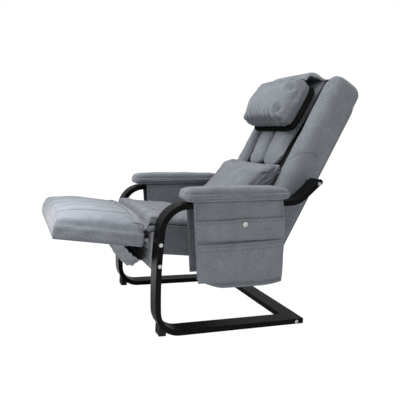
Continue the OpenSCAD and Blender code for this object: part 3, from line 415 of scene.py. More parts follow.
def paint_seam_shade(piece, share):
    """Says how much painted shade the cloth gets where it is drawn in, from 0 to 1 at each point of the
    piece.
    """
    field = piece.data.attributes.new("seam", "FLOAT", "POINT")
    field.data.foreach_set("value", np.clip(np.asarray(share, float), 0, 1).astype(np.float32))


def settle(piece):
    """Turns the piece's modifiers into its mesh."""
    graph = bpy.context.evaluated_depsgraph_get()
    made = bpy.data.meshes.new_from_object(piece.evaluated_get(graph))
    piece.modifiers.clear()
    piece.data = made


def finer(piece):
    """Subdivides the piece smoothly, once."""
    piece.modifiers.new("finer", "SUBSURF").levels = 1
    settle(piece)
    piece.data.shade_smooth()


# The rails get the darker copy of the cloth: painted shade under the seat cushion.
for node in ("seat_rail_left", "seat_rail_right"):
    dress(node, shaded_cloth, rail_edge)
plywood, tree, shader = surface("birch_plywood", (0.48, 0.34, 0.19), 0.6, level=0.3)
rings = grain(tree, 60, (0.12, 1, 1), 4.0)
tree.links.new(shaded(tree, rings, (0.38, 0.25, 0.13), (0.58, 0.44, 0.27)), shader.inputs["Base Color"])
raise_by(tree, shader, rings, 0.0002, 0.4)
dress("seat_rear_rail", plywood, foot_edge)

roll_low, roll_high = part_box("seat_front_roll")
roll_half = (roll_high - roll_low) / 2
roll_mid = (roll_high + roll_low) / 2
corners, faces = block_skin(60, 8, 6)
points = rounded_block(corners, tuple(roll_half), roll_half.z * 0.98)
points[:, 2] += 0.0015 * rumple(points, 0.05, 1) * (points[:, 2] > -roll_half.z / 2)
points += np.array(roll_mid)
seat_front_roll = make_piece("seat_front_roll_padding", points, faces)
finer(seat_front_roll)
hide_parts("seat_front_roll")
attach(seat_front_roll, "root")

webbing, tree, shader = surface("black_webbing", (0.012, 0.012, 0.014), 0.85, level=0.25)
ribs = add_node(tree, "ShaderNodeTexWave", {
    "Vector": add_node(tree, "ShaderNodeTexCoord").outputs["Object"], "Scale": 95.0, "Distortion": 0.4},
    bands_direction="Y").outputs["Fac"]
raise_by(tree, shader, ribs, 0.0005, 0.9)


def cloth_sheet(spots, thick):
    """Points and faces of a thin closed cloth. Its outer face is spots: rows x columns x 3."""
    rows, columns = spots.shape[:2]
    down = np.gradient(spots, axis=0)
    side = np.gradient(spots, axis=1)
    out = np.cross(side, down)
    out /= np.maximum(np.linalg.norm(out, axis=2, keepdims=True), tiny)
    back = spots - out * thick
    points = np.concatenate([spots.reshape(-1, 3), back.reshape(-1, 3)])
    last = rows * columns
    faces = []
    for i in range(rows - 1):
        for j in range(columns - 1):
            a = i * columns + j
            loop = [a, a + 1, a + columns + 1, a + columns]
            faces += [loop, [last + k for k in loop[::-1]]]
    rim = list(range(columns)) + [i * columns + columns - 1 for i in range(1, rows)]
    rim += [(rows - 1) * columns + j for j in range(columns - 2, -1, -1)]
    rim += [i * columns for i in range(rows - 2, 0, -1)]
    for a, b in zip(rim, rim[1:] + rim[:1]):
        faces.append([a, last + a, last + b, b])
    return points, faces


strap_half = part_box("seat_webbing")[1].x
strap_pitch = (seat_rail_l - strap_w) / strap_count
for k in range(strap_count):
    across, along = np.meshgrid(np.linspace(-strap_half, strap_half, 41), np.linspace(0, strap_w, 7))
    y = strap_w / 2 + k * strap_pitch + along.ravel()
    sag = -strap_sag * (1 - (across / strap_half) ** 2)
    flat = in_seat(across.ravel(), y, strap_z + strap_t + sag.ravel())
    points, faces = cloth_sheet(flat.reshape(*across.shape, 3), strap_t)
    strap = make_piece(f"seat_strap_{k + 1}", points, faces, webbing)
    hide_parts("seat_webbing")
    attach(strap, "root")

dust_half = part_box("seat_dust_cover")[1].x
dust_y0 = 0.0008
dust_l = seat_rail_l - 0.100
dust_z = 0.0066
dust_t = 0.0012
dust_sag = 0.005
across, along = np.meshgrid(np.linspace(-dust_half, dust_half, 49), np.linspace(dust_y0, dust_l, 33))
sag = -dust_sag * crown(across / dust_half, 2 * along / dust_l - 1, 2)
flat = in_seat(across.ravel(), along.ravel(), dust_z + sag.ravel())
flat[:, 2] += 0.001 * rumple(flat, 0.06, 2)
points, faces = cloth_sheet(flat.reshape(*across.shape, 3), dust_t)
dust_cover = make_piece("seat_underside_cloth", points, faces, webbing)
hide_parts("seat_dust_cover")
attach(dust_cover, "root")

# Seat cushion
# A foam block in a quilted cover, with channels sewn lengthwise and diamonds near the knee.
# It lies on the webbing and overhangs the front board.
seat_half_w = 0.2678
seat_cushion_l = 0.460
seat_nose = 0.046
seat_band = 0.024
seat_rise = 0.010
seat_foot_z = 0.1143
seat_edge_r = 0.0115
cover_tuck = 0.0044
channel_pitch = seat_half_w / 3
channel_w = 0.0065
channel_depth = 0.0040
gather_pitch = 0.017
gather_h = 0.0007
knee_zone_y = 0.075
knee_zone_half = 0.06
diamond_pitch = 0.09
quilt_w = 0.005
swell_steps = 20
hands = ((1, "left"), (-1, "right"))


def swell(piece, held, reach, pressure, slack):
    """Lets the filling blow the cover up, by no more than reach metres, and not where held is 1."""
    rest = np.array([v.co for v in piece.data.vertices])
    sewn = piece.vertex_groups.new(name="sewn")
    for i, share in enumerate(np.clip(held, 0, 1)):
        sewn.add([i], float(share), "REPLACE")
    cover = piece.modifiers.new("cover", "CLOTH")
    cover.settings.quality = 4
    cover.settings.mass = 0.25
    cover.settings.tension_stiffness = 12
    cover.settings.compression_stiffness = 12
    cover.settings.shear_stiffness = 4
    cover.settings.bending_stiffness = 0.4
    cover.settings.use_pressure = True
    cover.settings.uniform_pressure_force = pressure
    cover.settings.shrink_min = -slack
    cover.settings.vertex_group_mass = "sewn"
    cover.settings.effector_weights.gravity = 0
    cover.collision_settings.use_collision = False
    for step in range(1, swell_steps + 1):
        bpy.context.scene.frame_set(step)
    graph = bpy.context.evaluated_depsgraph_get()
    moved = np.array([v.co for v in piece.evaluated_get(graph).data.vertices])
    piece.modifiers.clear()
    piece.vertex_groups.clear()
    bpy.context.scene.frame_set(1)
    way = moved - rest
    far = np.linalg.norm(way, axis=1, keepdims=True)
    way *= np.minimum(1, reach / np.maximum(far, tiny))
    piece.data.vertices.foreach_set("co", (rest + way).astype(np.float32).ravel())
    piece.data.update()


def dent(distance, width):
    """A soft valley's depth, 1 on its line and 0 away from it."""
    return np.exp(-(distance / width) ** 2)


def smooth_step(x, start, end):
    """0 before start, 1 after end, and smooth between."""
    t = np.clip((x - start) / (end - start), 0, 1)
    return t * t * (3 - 2 * t)


def channels(x, pitch, count):
    """Distance to the nearest of count lines on each side of the middle, pitch apart."""
    nearest = np.clip(np.round(x / pitch), -count, count) * pitch
    return np.abs(x - nearest)


def slanting(x, y, slope, pitch, width):
    """1 on lines that cross the piece at a slant, pitch apart across it, and 0 between them."""
    return dent(np.abs((x + slope * y + 0.5) % pitch - pitch / 2), width)


corners, faces = block_skin(90, 76, 6)
seat_half = (seat_half_w, seat_cushion_l / 2)
x, y, z = stuffed(corners, seat_half, seat_band, seat_rise, 0, seat_edge_r, cover_tuck, 3, 12)
u, v, w = corners.T
on_top = np.clip((z - seat_band * 0.6) / 0.008, 0, 1)
sewn_line = dent(channels(x, channel_pitch, 2), channel_w) * on_top
front_y = y + seat_cushion_l / 2
knee_zone = np.clip(1 - np.abs(front_y - knee_zone_y) / knee_zone_half, 0, 1) ** 0.5 * on_top
slants = [slanting(x, front_y, slope, diamond_pitch, quilt_w) for slope in (1, -1)]
drawn = np.maximum(sewn_line, 0.7 * np.maximum(*slants) * knee_zone)
folds = np.sin(front_y * 2 * math.pi / gather_pitch + 3 * u)
gathers = folds * dent(channels(x, channel_pitch, 2), 0.018) * on_top
z = z - channel_depth * drawn + gather_h * gathers
seat_points = in_seat(x, y + seat_cushion_l / 2 - seat_nose, z + seat_foot_z)
seat_points[:, 2] += 0.0035 * rumple(seat_points, 0.09, 3) * on_top
seat_cushion = make_piece("seat_cushion_cover", seat_points, faces)
# Painted shade in the sewn channels and the knee diamonds.
paint_seam_shade(seat_cushion, drawn)
swell(seat_cushion, np.maximum(drawn * 1.3, 1 - on_top), 0.006, 2.5, 0.02)
finer(seat_cushion)
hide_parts("seat_cushion")
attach(seat_cushion, "root")


off_axis = (0.31, 0.17, 0.93)


def rope(centres, radius, around=10):
    """Points and faces of a closed round cord along its centre line."""
    centres = np.asarray(centres, float)
    ahead = np.gradient(centres, axis=0)
    ahead /= np.linalg.norm(ahead, axis=1, keepdims=True)
    beside = np.cross(ahead, off_axis)
    beside /= np.linalg.norm(beside, axis=1, keepdims=True)
    above = np.cross(ahead, beside)
    points, faces = [], []
    for k in range(around):
        angle = 2 * math.pi * k / around
        points.append(centres + radius * (math.cos(angle) * beside + math.sin(angle) * above))
    points = np.stack(points, axis=1).reshape(-1, 3)
    for i in range(len(centres) - 1):
        for k in range(around):
            a, b = i * around + k, i * around + (k + 1) % around
            faces.append([a, b, b + around, a + around])
    last = (len(centres) - 1) * around
    faces += [list(range(around))[::-1], [last + k for k in range(around)]]
    return points, faces


piping_r = 0.0030
piping_end = 0.004
piping_half_w = seat_half_w - 0.0008
piping_z = 0.1128
piping_y = np.linspace(piping_end, seat_rail_l - piping_end, 90)
for side, hand in hands:
    centres = in_seat(side * piping_half_w, piping_y, piping_z + 0.0004 * np.sin(piping_y * 130))
    points, faces = rope(centres, piping_r)
    piping = make_piece(f"seat_side_piping_{hand}", points, faces)
    # The piping carries painted shade all along, for the shade in the joint under the cushion.
    paint_seam_shade(piping, np.full(len(points), 0.3))
    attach(piping, "root")

# Knee hinges
# Two zinc plated steel hinges with 8 mm pins carry the leg rest. Their fixed leaves are on the front
# board's face, and their moving leaves run under the leg rest's board.
hinge_edge = 0.0006
for node in ("hinge_fixed_leaves", "hinge_pins", "hinge_moving_leaves"):
    dress(node, zinc, hinge_edge)

# Leg rest
# A board and a foam pad in one quilted cover, sewn in lengthwise channels with slanting ones by the knee.
# It swings on the knee hinges, and its cover runs on into the seat's.
rest_rise = math.radians(6.8)
rest_half_w = 0.285
rest_l = 0.336
rest_rear = -0.020
rest_foot_z = -0.0236
rest_band = 0.0600
rest_crown = 0.055
rest_pitch = rest_half_w / 3
rest_hinge_x = 0.222
rest_hinge_room = 0.0290
rest_hinge_reach = 0.052
rest_hinge_top = 0.042
rest_slant_pitch = 0.095
rest_channel_depth = 0.0034
rest_gather_pitch = 0.015
rest_gather_h = 0.0006
rest_front_fall = 0.40
rest_edge_r = {"upper": 0.019, "lower": 0.0125}


def joint_named(name):
    """The frame's joint of that name."""
    return [joint for joint in frame["joints"] if joint["name"] == name][0]


hinge_y, hinge_z = joint_named("leg_rest_hinge")["pos_m"][1:]


def in_leg_rest(x, y, z):
    """Points from the leg rest's own frame: y and z from the hinge pins, y rearwards along the board."""
    return np.column_stack([
        np.broadcast_to(x, np.shape(y)), hinge_y + y * math.cos(rest_rise) + z * math.sin(rest_rise),
        hinge_z - y * math.sin(rest_rise) + z * math.cos(rest_rise)])


# The board gets the darker copy of the cloth: painted shade under the leg rest's pad.
dress("leg_rest_board", shaded_cloth, rail_edge)
corners, faces = block_skin(96, 62, 10)
u, v, w = corners.T
edge_r = np.where(w > 0, rest_edge_r["upper"], rest_edge_r["lower"])
x, y, z = stuffed(corners, (rest_half_w, rest_l / 2), rest_band, 0, 0, edge_r, cover_tuck, 4)
z = z + rest_crown * crown(u, v, 4, 14) * (1 - rest_front_fall * dent(v + 1, 0.50)) * np.where(w > 0, w, 0)
on_top = np.clip((z - rest_band * 0.78) / 0.012, 0, 1)
sewn_line = dent(channels(x, rest_pitch, 2), channel_w) * on_top
knee = np.clip(y / 0.15, 0, 1) * on_top
slants = [slanting(x, y, slope, rest_slant_pitch, quilt_w) for slope in (0.8, -1.1)]
drawn = np.maximum(sewn_line, 0.7 * np.maximum(*slants) * knee)
folds = np.sin(y * 2 * math.pi / rest_gather_pitch + 2.5 * u)
gathers = folds * dent(channels(x, rest_pitch, 2), 0.02) * on_top
z = z - rest_channel_depth * drawn + rest_gather_h * gathers
side_folds = rumple(np.column_stack([x * 0.5, y, z * 2.2]), 0.05, 21) * (np.abs(u) > 0.95)
x = x + 0.0022 * side_folds * np.sign(u)
hinge_slot = (np.abs(np.abs(x) - rest_hinge_x) < rest_hinge_room) & (y > rest_l / 2 - rest_hinge_reach)
z = np.where(hinge_slot & (z < rest_hinge_top), rest_hinge_top, z)
rest_points = in_leg_rest(x, y + rest_rear - rest_l / 2, z + rest_foot_z)
rest_points[:, 2] += 0.0040 * rumple(rest_points, 0.10, 5) * on_top
leg_rest_cushion = make_piece("leg_rest_padding", rest_points, faces)
# Painted shade in the sewn channels and the slanting lines by the knee.
paint_seam_shade(leg_rest_cushion, drawn)
swell(leg_rest_cushion, np.maximum(drawn * 1.3, 1 - on_top), 0.004, 2.5, 0.02)
finer(leg_rest_cushion)
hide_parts("leg_rest_cushion")
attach(leg_rest_cushion, "leg_rest")

# Knee cloth
# The quilted cover runs on over the knee from the leg rest's top to the seat's, with a soft fold between.
# Below it a gathered cloth hangs in ruffles from the leg rest's underside to the front board.
strip_half = 0.2655
strip_on_rest = -0.070
strip_on_seat = 0.052
strip_t = 0.0016
strip_lift = 0.0014
fold_depth = 0.011
fold_w = 0.30
strip_rows = 37
strip_columns = 121
strip_slants = (0.066, -0.090)
strip_front_z = 0.066
strip_rear_z = 0.030
strip_spread = 0.085
pucker_h = 0.0028
pucker_pitch = 0.031
ray_start = 0.3


def surface_under(piece, points):
    """Height of the piece's upper face under each point, or a very low height where there is none."""
    tree = BVHTree.FromObject(piece, bpy.context.evaluated_depsgraph_get())
    heights = []
    for x, y, z in points:
        hit = tree.ray_cast(Vector((x, y, z + ray_start)), Vector((0, 0, -1)))
        heights.append(hit[0].z if hit[0] is not None else -1.0)
    return np.array(heights)


def length_of(line):
    """Length of a line of points."""
    return float(np.linalg.norm(np.diff(line, axis=0), axis=1).sum())


strip_front = in_leg_rest(0.0, np.array([strip_on_rest]), strip_front_z)[0]
strip_rear = in_seat(0.0, np.array([strip_on_seat - seat_nose]), seat_foot_z + strip_rear_z)[0]
across, way = np.meshgrid(
    np.linspace(-strip_half, strip_half, strip_columns), np.linspace(0, 1, strip_rows))
spots = strip_front + way[:, :, None] * (strip_rear - strip_front)
spots[:, :, 0] = across
under = [surface_under(piece, spots.reshape(-1, 3)) for piece in (leg_rest_cushion, seat_cushion)]
resting = np.maximum(*under).reshape(across.shape) + strip_lift + strip_t
for j in range(strip_columns):
    column = resting[:, j]
    f, x = way[:, j], across[0, j]
    carried = column > hinge_z * 0.8
    smooth = np.interp(f, f[carried], column[carried])
    spread = dent(f[:, None] - f[None, :], strip_spread)
    smooth = spread @ smooth / spread.sum(axis=1)
    pucker = pucker_h * math.sin(x * 2 * math.pi / pucker_pitch + 2.4 * math.sin(x * 27))
    height = smooth - (fold_depth + pucker) * dent(f - 0.5, fold_w)
    ends = np.clip(8 * np.minimum(f, 1 - f), 0, 1)
    height = column + (height - column) * ends
    spots[:, j, 2] = np.where(carried, np.maximum(height, column), height)
points, faces = cloth_sheet(spots, strip_t)
knee_strip = make_piece("knee_strip", points, faces)
crossing = np.maximum(*[slanting(across, way, slope, rest_slant_pitch, 0.004) for slope in strip_slants])
# Painted shade in the slanting quilt lines and along the fold between leg rest and seat.
paint_seam_shade(knee_strip, np.tile(np.maximum(0.45 * crossing, 0.25 * dent(way - 0.5, 0.12)).ravel(), 2))
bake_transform(knee_strip)

gusset_half_w = 0.196
gusset_drop = 0.165
gusset_t = 0.0018
gusset_gap = 0.0026
gusset_ruffle = 0.0040
gusset_folds = 7
gusset_columns = 79
gusset_front_y = -0.0860
gusset_front_z = -0.0280
gusset_rear_up = 0.020
gusset_drawn_up = 0.80
gusset_pull_shares = ((0.05, 0.72), (0.96, 1))
board_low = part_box("front_cross_board")[0]
gusset_a = in_leg_rest(0.0, np.array([gusset_front_y]), gusset_front_z)[0, 1:]
gusset_d = np.array([board_low.y - gusset_gap, board_low.z + gusset_rear_up])
gusset_span = gusset_d - gusset_a
gusset_b, gusset_c = [
    gusset_a + np.array([along * gusset_span[0], -down * gusset_drop]) for along, down in gusset_pull_shares]
way = np.linspace(0, 1, 141)[:, None]
line = ((1 - way) ** 3 * gusset_a + 3 * way * (1 - way) ** 2 * gusset_b
        + 3 * way * way * (1 - way) * gusset_c + way ** 3 * gusset_d)
ahead = np.gradient(line, axis=0)
ahead /= np.linalg.norm(ahead, axis=1, keepdims=True)
beside = np.column_stack([-ahead[:, 1], ahead[:, 0]])
across = np.linspace(-gusset_half_w, gusset_half_w, gusset_columns)
chord = gusset_a + way * gusset_span
spots = np.zeros((len(line), len(across), 3))
for j, x in enumerate(across):
    wander = 0.5 * math.sin(x * 21) + 0.35 * math.sin(x * 47 + 1.1)
    fold = np.sin(2 * math.pi * gusset_folds * way[:, 0] + wander) * np.sin(math.pi * way[:, 0])
    shift = gusset_ruffle * fold
    drawn_up = gusset_drawn_up * float(smooth_step(abs(x) / gusset_half_w, 0.45, 1.0))
    spots[:, j, 0] = x * (1 + 0.32 * np.sin(math.pi * way[:, 0]) * drawn_up)
    spots[:, j, 1:] = line + beside * shift[:, None] * (1 - 0.5 * drawn_up) + (chord - line) * drawn_up
points, faces = cloth_sheet(spots, gusset_t)
gusset = make_piece("knee_ruffle", points, faces)
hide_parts("knee_gusset")
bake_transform(gusset)

# Back: rails, rear panel and lower pad
# Plywood rails stand inside the padded back, a cloth-covered panel closes it behind, and a flat pad fills
# it below the hollow.
back_lean = math.asin(joint_named("pillow_lift")["axis"][1])
panel_low, panel_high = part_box("back_rear_panel")
panel_foot_s = -0.0678
panel_top_s = 0.728
back_y = panel_high.y - panel_top_s * math.sin(back_lean)
back_z = panel_low.z - panel_foot_s * math.cos(back_lean)


def in_back(x, d, s):
    """Points from the back's own frame: d forwards off its rear face, s up along it."""
    return np.column_stack([
        np.broadcast_to(x, np.shape(d)), back_y - d * math.cos(back_lean) + s * math.sin(back_lean),
        back_z + d * math.sin(back_lean) + s * math.cos(back_lean)])


for node in ("back_rail_left", "back_rail_right", "back_cross_rails"):
    dress(node, plywood, 0.001)
# The rear panel gets the darker copy of the cloth: painted shade behind the back.
dress("back_rear_panel", shaded_cloth, board_edge)

lower_pad_half_w = 0.1797
lower_pad_s0 = -0.058
lower_pad_s1 = 0.2740
lower_pad_back_d = 0.080
lower_pad_band = 0.035
lower_pad_rise = 0.015
lower_pad_edge_r = 0.014
soft_gap = 0.0003
corners, faces = block_skin(44, 40, 6)
lower_pad_half_l = (lower_pad_s1 - lower_pad_s0) / 2
lower_pad_half = (lower_pad_half_w, lower_pad_half_l)
x, y, z = stuffed(
    corners, lower_pad_half, lower_pad_band, lower_pad_rise, 0, lower_pad_edge_r, soft_gap, 6)
points = in_back(x, z + lower_pad_back_d, y + lower_pad_s0 + lower_pad_half_l)
lower_pad = make_piece("lower_back_padding", points, faces)
finer(lower_pad)
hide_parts("back_lower_pad")
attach(lower_pad, "root")

# Back surround
# One thick roll of foam runs up the left side, round the top and down the right side of the back, deeper in
# front than at the sides. A curved seam crosses each side about half way up.
surround_half_w = 0.270
surround_top = 0.752
top_dip = 0.024
dip_x = 0.172
dip_run = 0.032
surround_foot = -0.070
surround_w = 0.090
shoulder_r = 0.052
shoulder_power = 0.85
rear_round_r = 0.070
surround_d0 = -0.0006
side_crown_d = 0.145
top_crown_d = 0.119
seam_w = 0.0030
seam_low = 0.18
seam_high = 0.44
seam_mid = 0.386
seam_fall = 0.032
seam_turn = 0.085
seam_depth = 0.0028
seam_puff = 0.0022
section_shares = [
    (0.10, 0.0), (0.03, 0.012), (0.0, 0.06), (0.0, 0.2), (0.0, 0.4), (0.0, 0.55), (0.012, 0.67),
    (0.05, 0.78), (0.12, 0.87), (0.24, 0.94), (0.40, 0.985), (0.56, 1.0), (0.72, 0.985), (0.85, 0.93),
    (0.94, 0.84), (0.99, 0.72), (1.0, 0.58), (1.0, 0.4), (1.0, 0.0)]


def curve_through(nodes, count):
    """Points spaced evenly along a smooth curve through nodes."""
    nodes = np.asarray(nodes, float)
    padded = np.vstack([2 * nodes[0] - nodes[1], nodes, 2 * nodes[-1] - nodes[-2]])
    fine = []
    for k in range(1, len(padded) - 2):
        p0, p1, p2, p3 = padded[k - 1:k + 3]
        for t in np.linspace(0, 1, 12, endpoint=False):
            fine.append(0.5 * (2 * p1 + (p2 - p0) * t + (2 * p0 - 5 * p1 + 4 * p2 - p3) * t * t
                               + (3 * p1 - p0 - 3 * p2 + p3) * t ** 3))
    fine.append(nodes[-1])
    fine = np.array(fine)
    run = np.concatenate([[0], np.cumsum(np.linalg.norm(np.diff(fine, axis=0), axis=1))])
    spaced = np.linspace(0, run[-1], count)
    return np.column_stack([np.interp(spaced, run, fine[:, a]) for a in range(fine.shape[1])])


section = curve_through(section_shares, 54)
straight = surround_top - shoulder_r - surround_foot
turn_l = shoulder_r * math.pi / 2
flat_top = 2 * (surround_half_w - shoulder_r)
run_l = 2 * straight + 2 * turn_l + flat_top
near_seam = np.arange(seam_low - surround_foot, seam_high - surround_foot, 0.0016)
stations = np.unique(np.concatenate([np.linspace(0, run_l, 230), near_seam, run_l - near_seam]))


def rim(t):
    """The outer edge t metres from the left foot, and the way inwards: (x, s, inward x, inward s)."""
    if t > run_l / 2:
        x, s, inward_x, inward_s = rim(run_l - t)
        return -x, s, -inward_x, inward_s
    if t < straight:
        return surround_half_w, surround_foot + t, -1.0, 0.0
    if t < straight + turn_l:
        angle = (t - straight) / shoulder_r
        across, up = math.cos(angle), math.sin(angle)
        return (surround_half_w - shoulder_r + shoulder_r * across ** shoulder_power,
                surround_top - shoulder_r + shoulder_r * up ** shoulder_power, -across, -up)
    x = surround_half_w - shoulder_r - (t - straight - turn_l)
    return x, surround_top - top_dip * smooth_step(dip_x - x, 0, dip_run), 0.0, -1.0


ring_count = len(section)
points, seams = [], []
for t in stations:
    x0, s0, inward_x, inward_s = rim(t)
    past = min(t, run_l - t) - straight - turn_l
    over_top = smooth_step(past, -0.01, 0.055)
    crown_d = side_crown_d + (top_crown_d - side_crown_d) * over_top
    width = surround_w - 0.005 * over_top
    for a, b in section:
        x, s = x0 + inward_x * a * width, s0 + inward_s * a * width
        d = surround_d0 + b * (crown_d - surround_d0)
        past_round = min(max(s - surround_top + rear_round_r, 0), rear_round_r * 0.999)
        rounded_d = rear_round_r - math.sqrt(rear_round_r ** 2 - past_round ** 2)
        d = max(d, rounded_d * (1 - smooth_step(past, 0.040, 0.065)) + surround_d0)
        seam_s = seam_mid - seam_fall * np.clip((b - 0.6) / 0.37, 0, 1) - seam_turn * max(a - 0.05, 0)
        on_side = (b > 0.3) * (past < -turn_l)
        close = dent(s - seam_s, seam_w) * on_side * smooth_step(0.8 - a, 0, 0.2)
        puff = seam_puff * (smooth_step(seam_s - s, 0.0, 0.03) - 0.5) * on_side
        points.append((x, d - seam_depth * close * b + puff * b * dent(s - seam_s, 0.06), s))
        # Painted shade in the valley of each side's seam.
        seams.append(close * 0.85)
points = np.array(points)
bulge = rumple(points, 0.13, 7)
front = np.clip((points[:, 1] - 0.06) / 0.05, 0, 1)
points[:, 1] += (0.0045 * bulge + 0.002 * rumple(points, 0.045, 8)) * front
surround_points = in_back(points[:, 0], points[:, 1], points[:, 2])
faces = []
for i in range(len(stations) - 1):
    for j in range(ring_count):
        a, b = i * ring_count + j, i * ring_count + (j + 1) % ring_count
        faces.append([a, b, b + ring_count, a + ring_count])
last_ring = (len(stations) - 1) * ring_count
faces += [list(range(ring_count))[::-1], list(range(last_ring, last_ring + ring_count))]
surround = make_piece("back_surround", surround_points, faces)
paint_seam_shade(surround, seams)
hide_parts("back_bolster_left", "back_bolster_right", "back_top_roll")
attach(surround, "root")

# Back net
# Black polyester net is stretched over the hollow of the back, in front of the massage rollers. The
# surround and the lower pad hold its edges.
net_t = 0.0012
net_front_d = 0.1195
net_foot = 0.2700
net_neck = 0.650
net_half_w = 0.1790
net_neck_w = 0.1690
net_hole_scale = 420.0
net_bow = 0.004
black_net, tree, shader = surface("black_net", (0.006, 0.006, 0.007), 0.8, level=0.2)
place = add_node(tree, "ShaderNodeTexCoord").outputs["Object"]
mesh_holes = add_node(
    tree, "ShaderNodeTexVoronoi", {"Vector": place, "Scale": net_hole_scale}).outputs["Distance"]
raise_by(tree, shader, mesh_holes, 0.0008, 1.0)
up, across = np.meshgrid(np.linspace(0, 1, 61), np.linspace(-1, 1, 41), indexing="ij")
half = net_half_w + (net_neck_w - net_half_w) * np.clip((up - 0.95) / 0.02, 0, 1)
s = net_foot + (net_neck - net_foot) * up
d = net_front_d - net_bow * crown(across, 2 * up - 1, 2)
flat = in_back((across * half).ravel(), d.ravel(), s.ravel())
points, faces = cloth_sheet(flat.reshape(*up.shape, 3), net_t)
net = make_piece("back_net_cloth", points, faces, black_net)
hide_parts("back_net")
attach(net, "root")

# Hanging back pad
# Two soft lobes in one cover, with a channel between them, hang from the top of the back over the net.
# They narrow to round ends, and a shadow gap parts them from the surround.
lobe_half_w = 0.161
lobe_s0 = 0.281
lobe_s1 = 0.722
lobe_back_d = 0.1207
lobe_band = 0.013
lobe_edge_r = 0.0062
lobe_rise = 0.0225
lobe_channel_w = 0.012
lobe_round = 0.058
lobe_waist = 0.024
corners, faces = block_skin(76, 90, 5)
lobe_half_l = (lobe_s1 - lobe_s0) / 2
x, y, z = stuffed(corners, (lobe_half_w, lobe_half_l), lobe_band, lobe_rise, 0, lobe_edge_r, 0, 2.6)
u, v, w = corners.T
from_foot = np.clip((1 - v) / 2, 0, 1)
waist = 1 - (lobe_waist / lobe_half_w) * smooth_step(from_foot, 0.30, 0.88)
lobe_mid = lobe_half_w / 2
in_lobe = np.clip(np.abs(np.abs(u) * lobe_half_w - lobe_mid) / lobe_mid, 0, 1)
foot_lift = lobe_round * (1 - np.sqrt(np.clip(1 - in_lobe ** 2.4, 0, 1)))
y = y + foot_lift * smooth_step(from_foot, 0.60, 1.0)
x = x * waist
middle = dent(x, lobe_channel_w)
lumps = rumple(np.column_stack([x, y, z]), 0.06, 9)
z = z * (1 - 0.80 * middle * (w > -0.5)) + 0.0030 * lumps * (w > 0)
points = in_back(x, z + lobe_back_d, y + lobe_s0 + lobe_half_l)
hanging_pad = make_piece("hanging_back_pad", points, faces)
# Painted shade in the channel between the lobes.
paint_seam_shade(hanging_pad, dent(x, 0.006) * 0.8)
swell(hanging_pad, np.maximum(middle * 1.2, np.where(w > 0.9, 0, 1)), 0.004, 2.0, 0.015)
finer(hanging_pad)
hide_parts("back_pad")
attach(hanging_pad, "root")

# Head pillow and its flap
# A soft pillow, gathered along its long seams and tufted near its ends, hangs on a padded flap laid over the
# top of the back. A slightly larger black liner behind it is painted shadow, for the dark gap round the
# pillow.
pillow_half_w = 0.195
pillow_l = 0.222
pillow_h = 0.122
pillow_s0 = 0.451
pillow_back_d = 0.1568
pillow_band = pillow_h * 0.34
pillow_rise = pillow_h * 0.40
pillow_sink = pillow_h * 0.26
tufts = [(0.158, 0.612), (0.150, 0.497), (-0.158, 0.612), (-0.150, 0.497)]
tuft_r = 0.017
tuft_depth = 0.015
pillow_gather_pitch = 0.036
pillow_gather_h = 0.0048
pillow_edge_r = 0.0205
loose_tuck = 0.0066
pillow_mid_s = pillow_s0 + pillow_l / 2
corners, faces = block_skin(78, 46, 10)
half = (pillow_half_w, pillow_l / 2)
x, y, z = stuffed(corners, half, pillow_band, pillow_rise, pillow_sink, pillow_edge_r, loose_tuck, 3.6)
u, v, w = corners.T
s = y + pillow_mid_s
tuft = np.zeros(len(x))
for tuft_x, tuft_s in tufts:
    tuft = np.maximum(tuft, dent(np.hypot(x - tuft_x, s - tuft_s), tuft_r))
tuft *= w > 0.3
x = x * (1 - 0.10 * np.abs(v) ** 4) * (1.00 - 0.052 * u) * (1 - 0.02 * (1 - v) * (u > 0) * u)
y = y * (1 - 0.13 * np.abs(u) ** 6)
long_edge = np.exp(-(1 - np.abs(v)) * pillow_l / 2 / 0.034)
gather = np.sin(x * 2 * math.pi / pillow_gather_pitch + 1.2 * np.sin(x * 23)) * long_edge
z = z - tuft_depth * tuft + pillow_gather_h * gather * (w > 0)
y = y + 0.0052 * gather * np.sign(v) * (np.abs(v) > 0.8)
z = z + 0.006 * rumple(np.column_stack([x, y, z]), 0.08, 11) * (w > 0)
points = in_back(x, z + pillow_back_d + pillow_sink, y + pillow_mid_s)
pillow = make_piece("head_pillow_cover", points, faces)
# Painted shade in the tufts and in the inner folds of the gathers.
paint_seam_shade(pillow, np.maximum(tuft * 0.5, long_edge * np.clip(-gather, 0, 1) * 0.5))
swell(pillow, np.maximum(tuft * 1.2, np.where(w < -0.2, 1, 0)), 0.006, 3.0, 0.035)
finer(pillow)
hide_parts("head_pillow")
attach(pillow, "head_pillow")

# The black liner is painted shadow: a dark sheet behind the pillow that stands in for the shadow gap round
# it.
shadow_liner_band = 0.016
shadow_liner_edge_r = 0.0078
shadow_liner_drop = 0.006
shadow_liner_lift = 0.002
painted_shadow_cloth = fine_grained(
    "painted_shadow_cloth", (0.004, 0.004, 0.0045), 0.95, 800, 0.0003, 0.6, level=0.1)
corners, faces = block_skin(40, 26, 4)
half = (pillow_half_w + 0.004, pillow_l / 2 + 0.007)
x, y, z = stuffed(corners, half, shadow_liner_band, 0, 0, shadow_liner_edge_r, loose_tuck, 3.6)
u, v, w = corners.T
x = x * (1 - 0.12 * np.abs(v) ** 4)
y = y * (1 - 0.14 * np.abs(u) ** 6) - shadow_liner_drop
points = in_back(x, z + pillow_back_d + shadow_liner_lift, y + pillow_mid_s)
pillow_shadow_liner = make_piece("head_pillow_shadow_liner", points, faces, painted_shadow_cloth)
finer(pillow_shadow_liner)
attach(pillow_shadow_liner, "head_pillow")

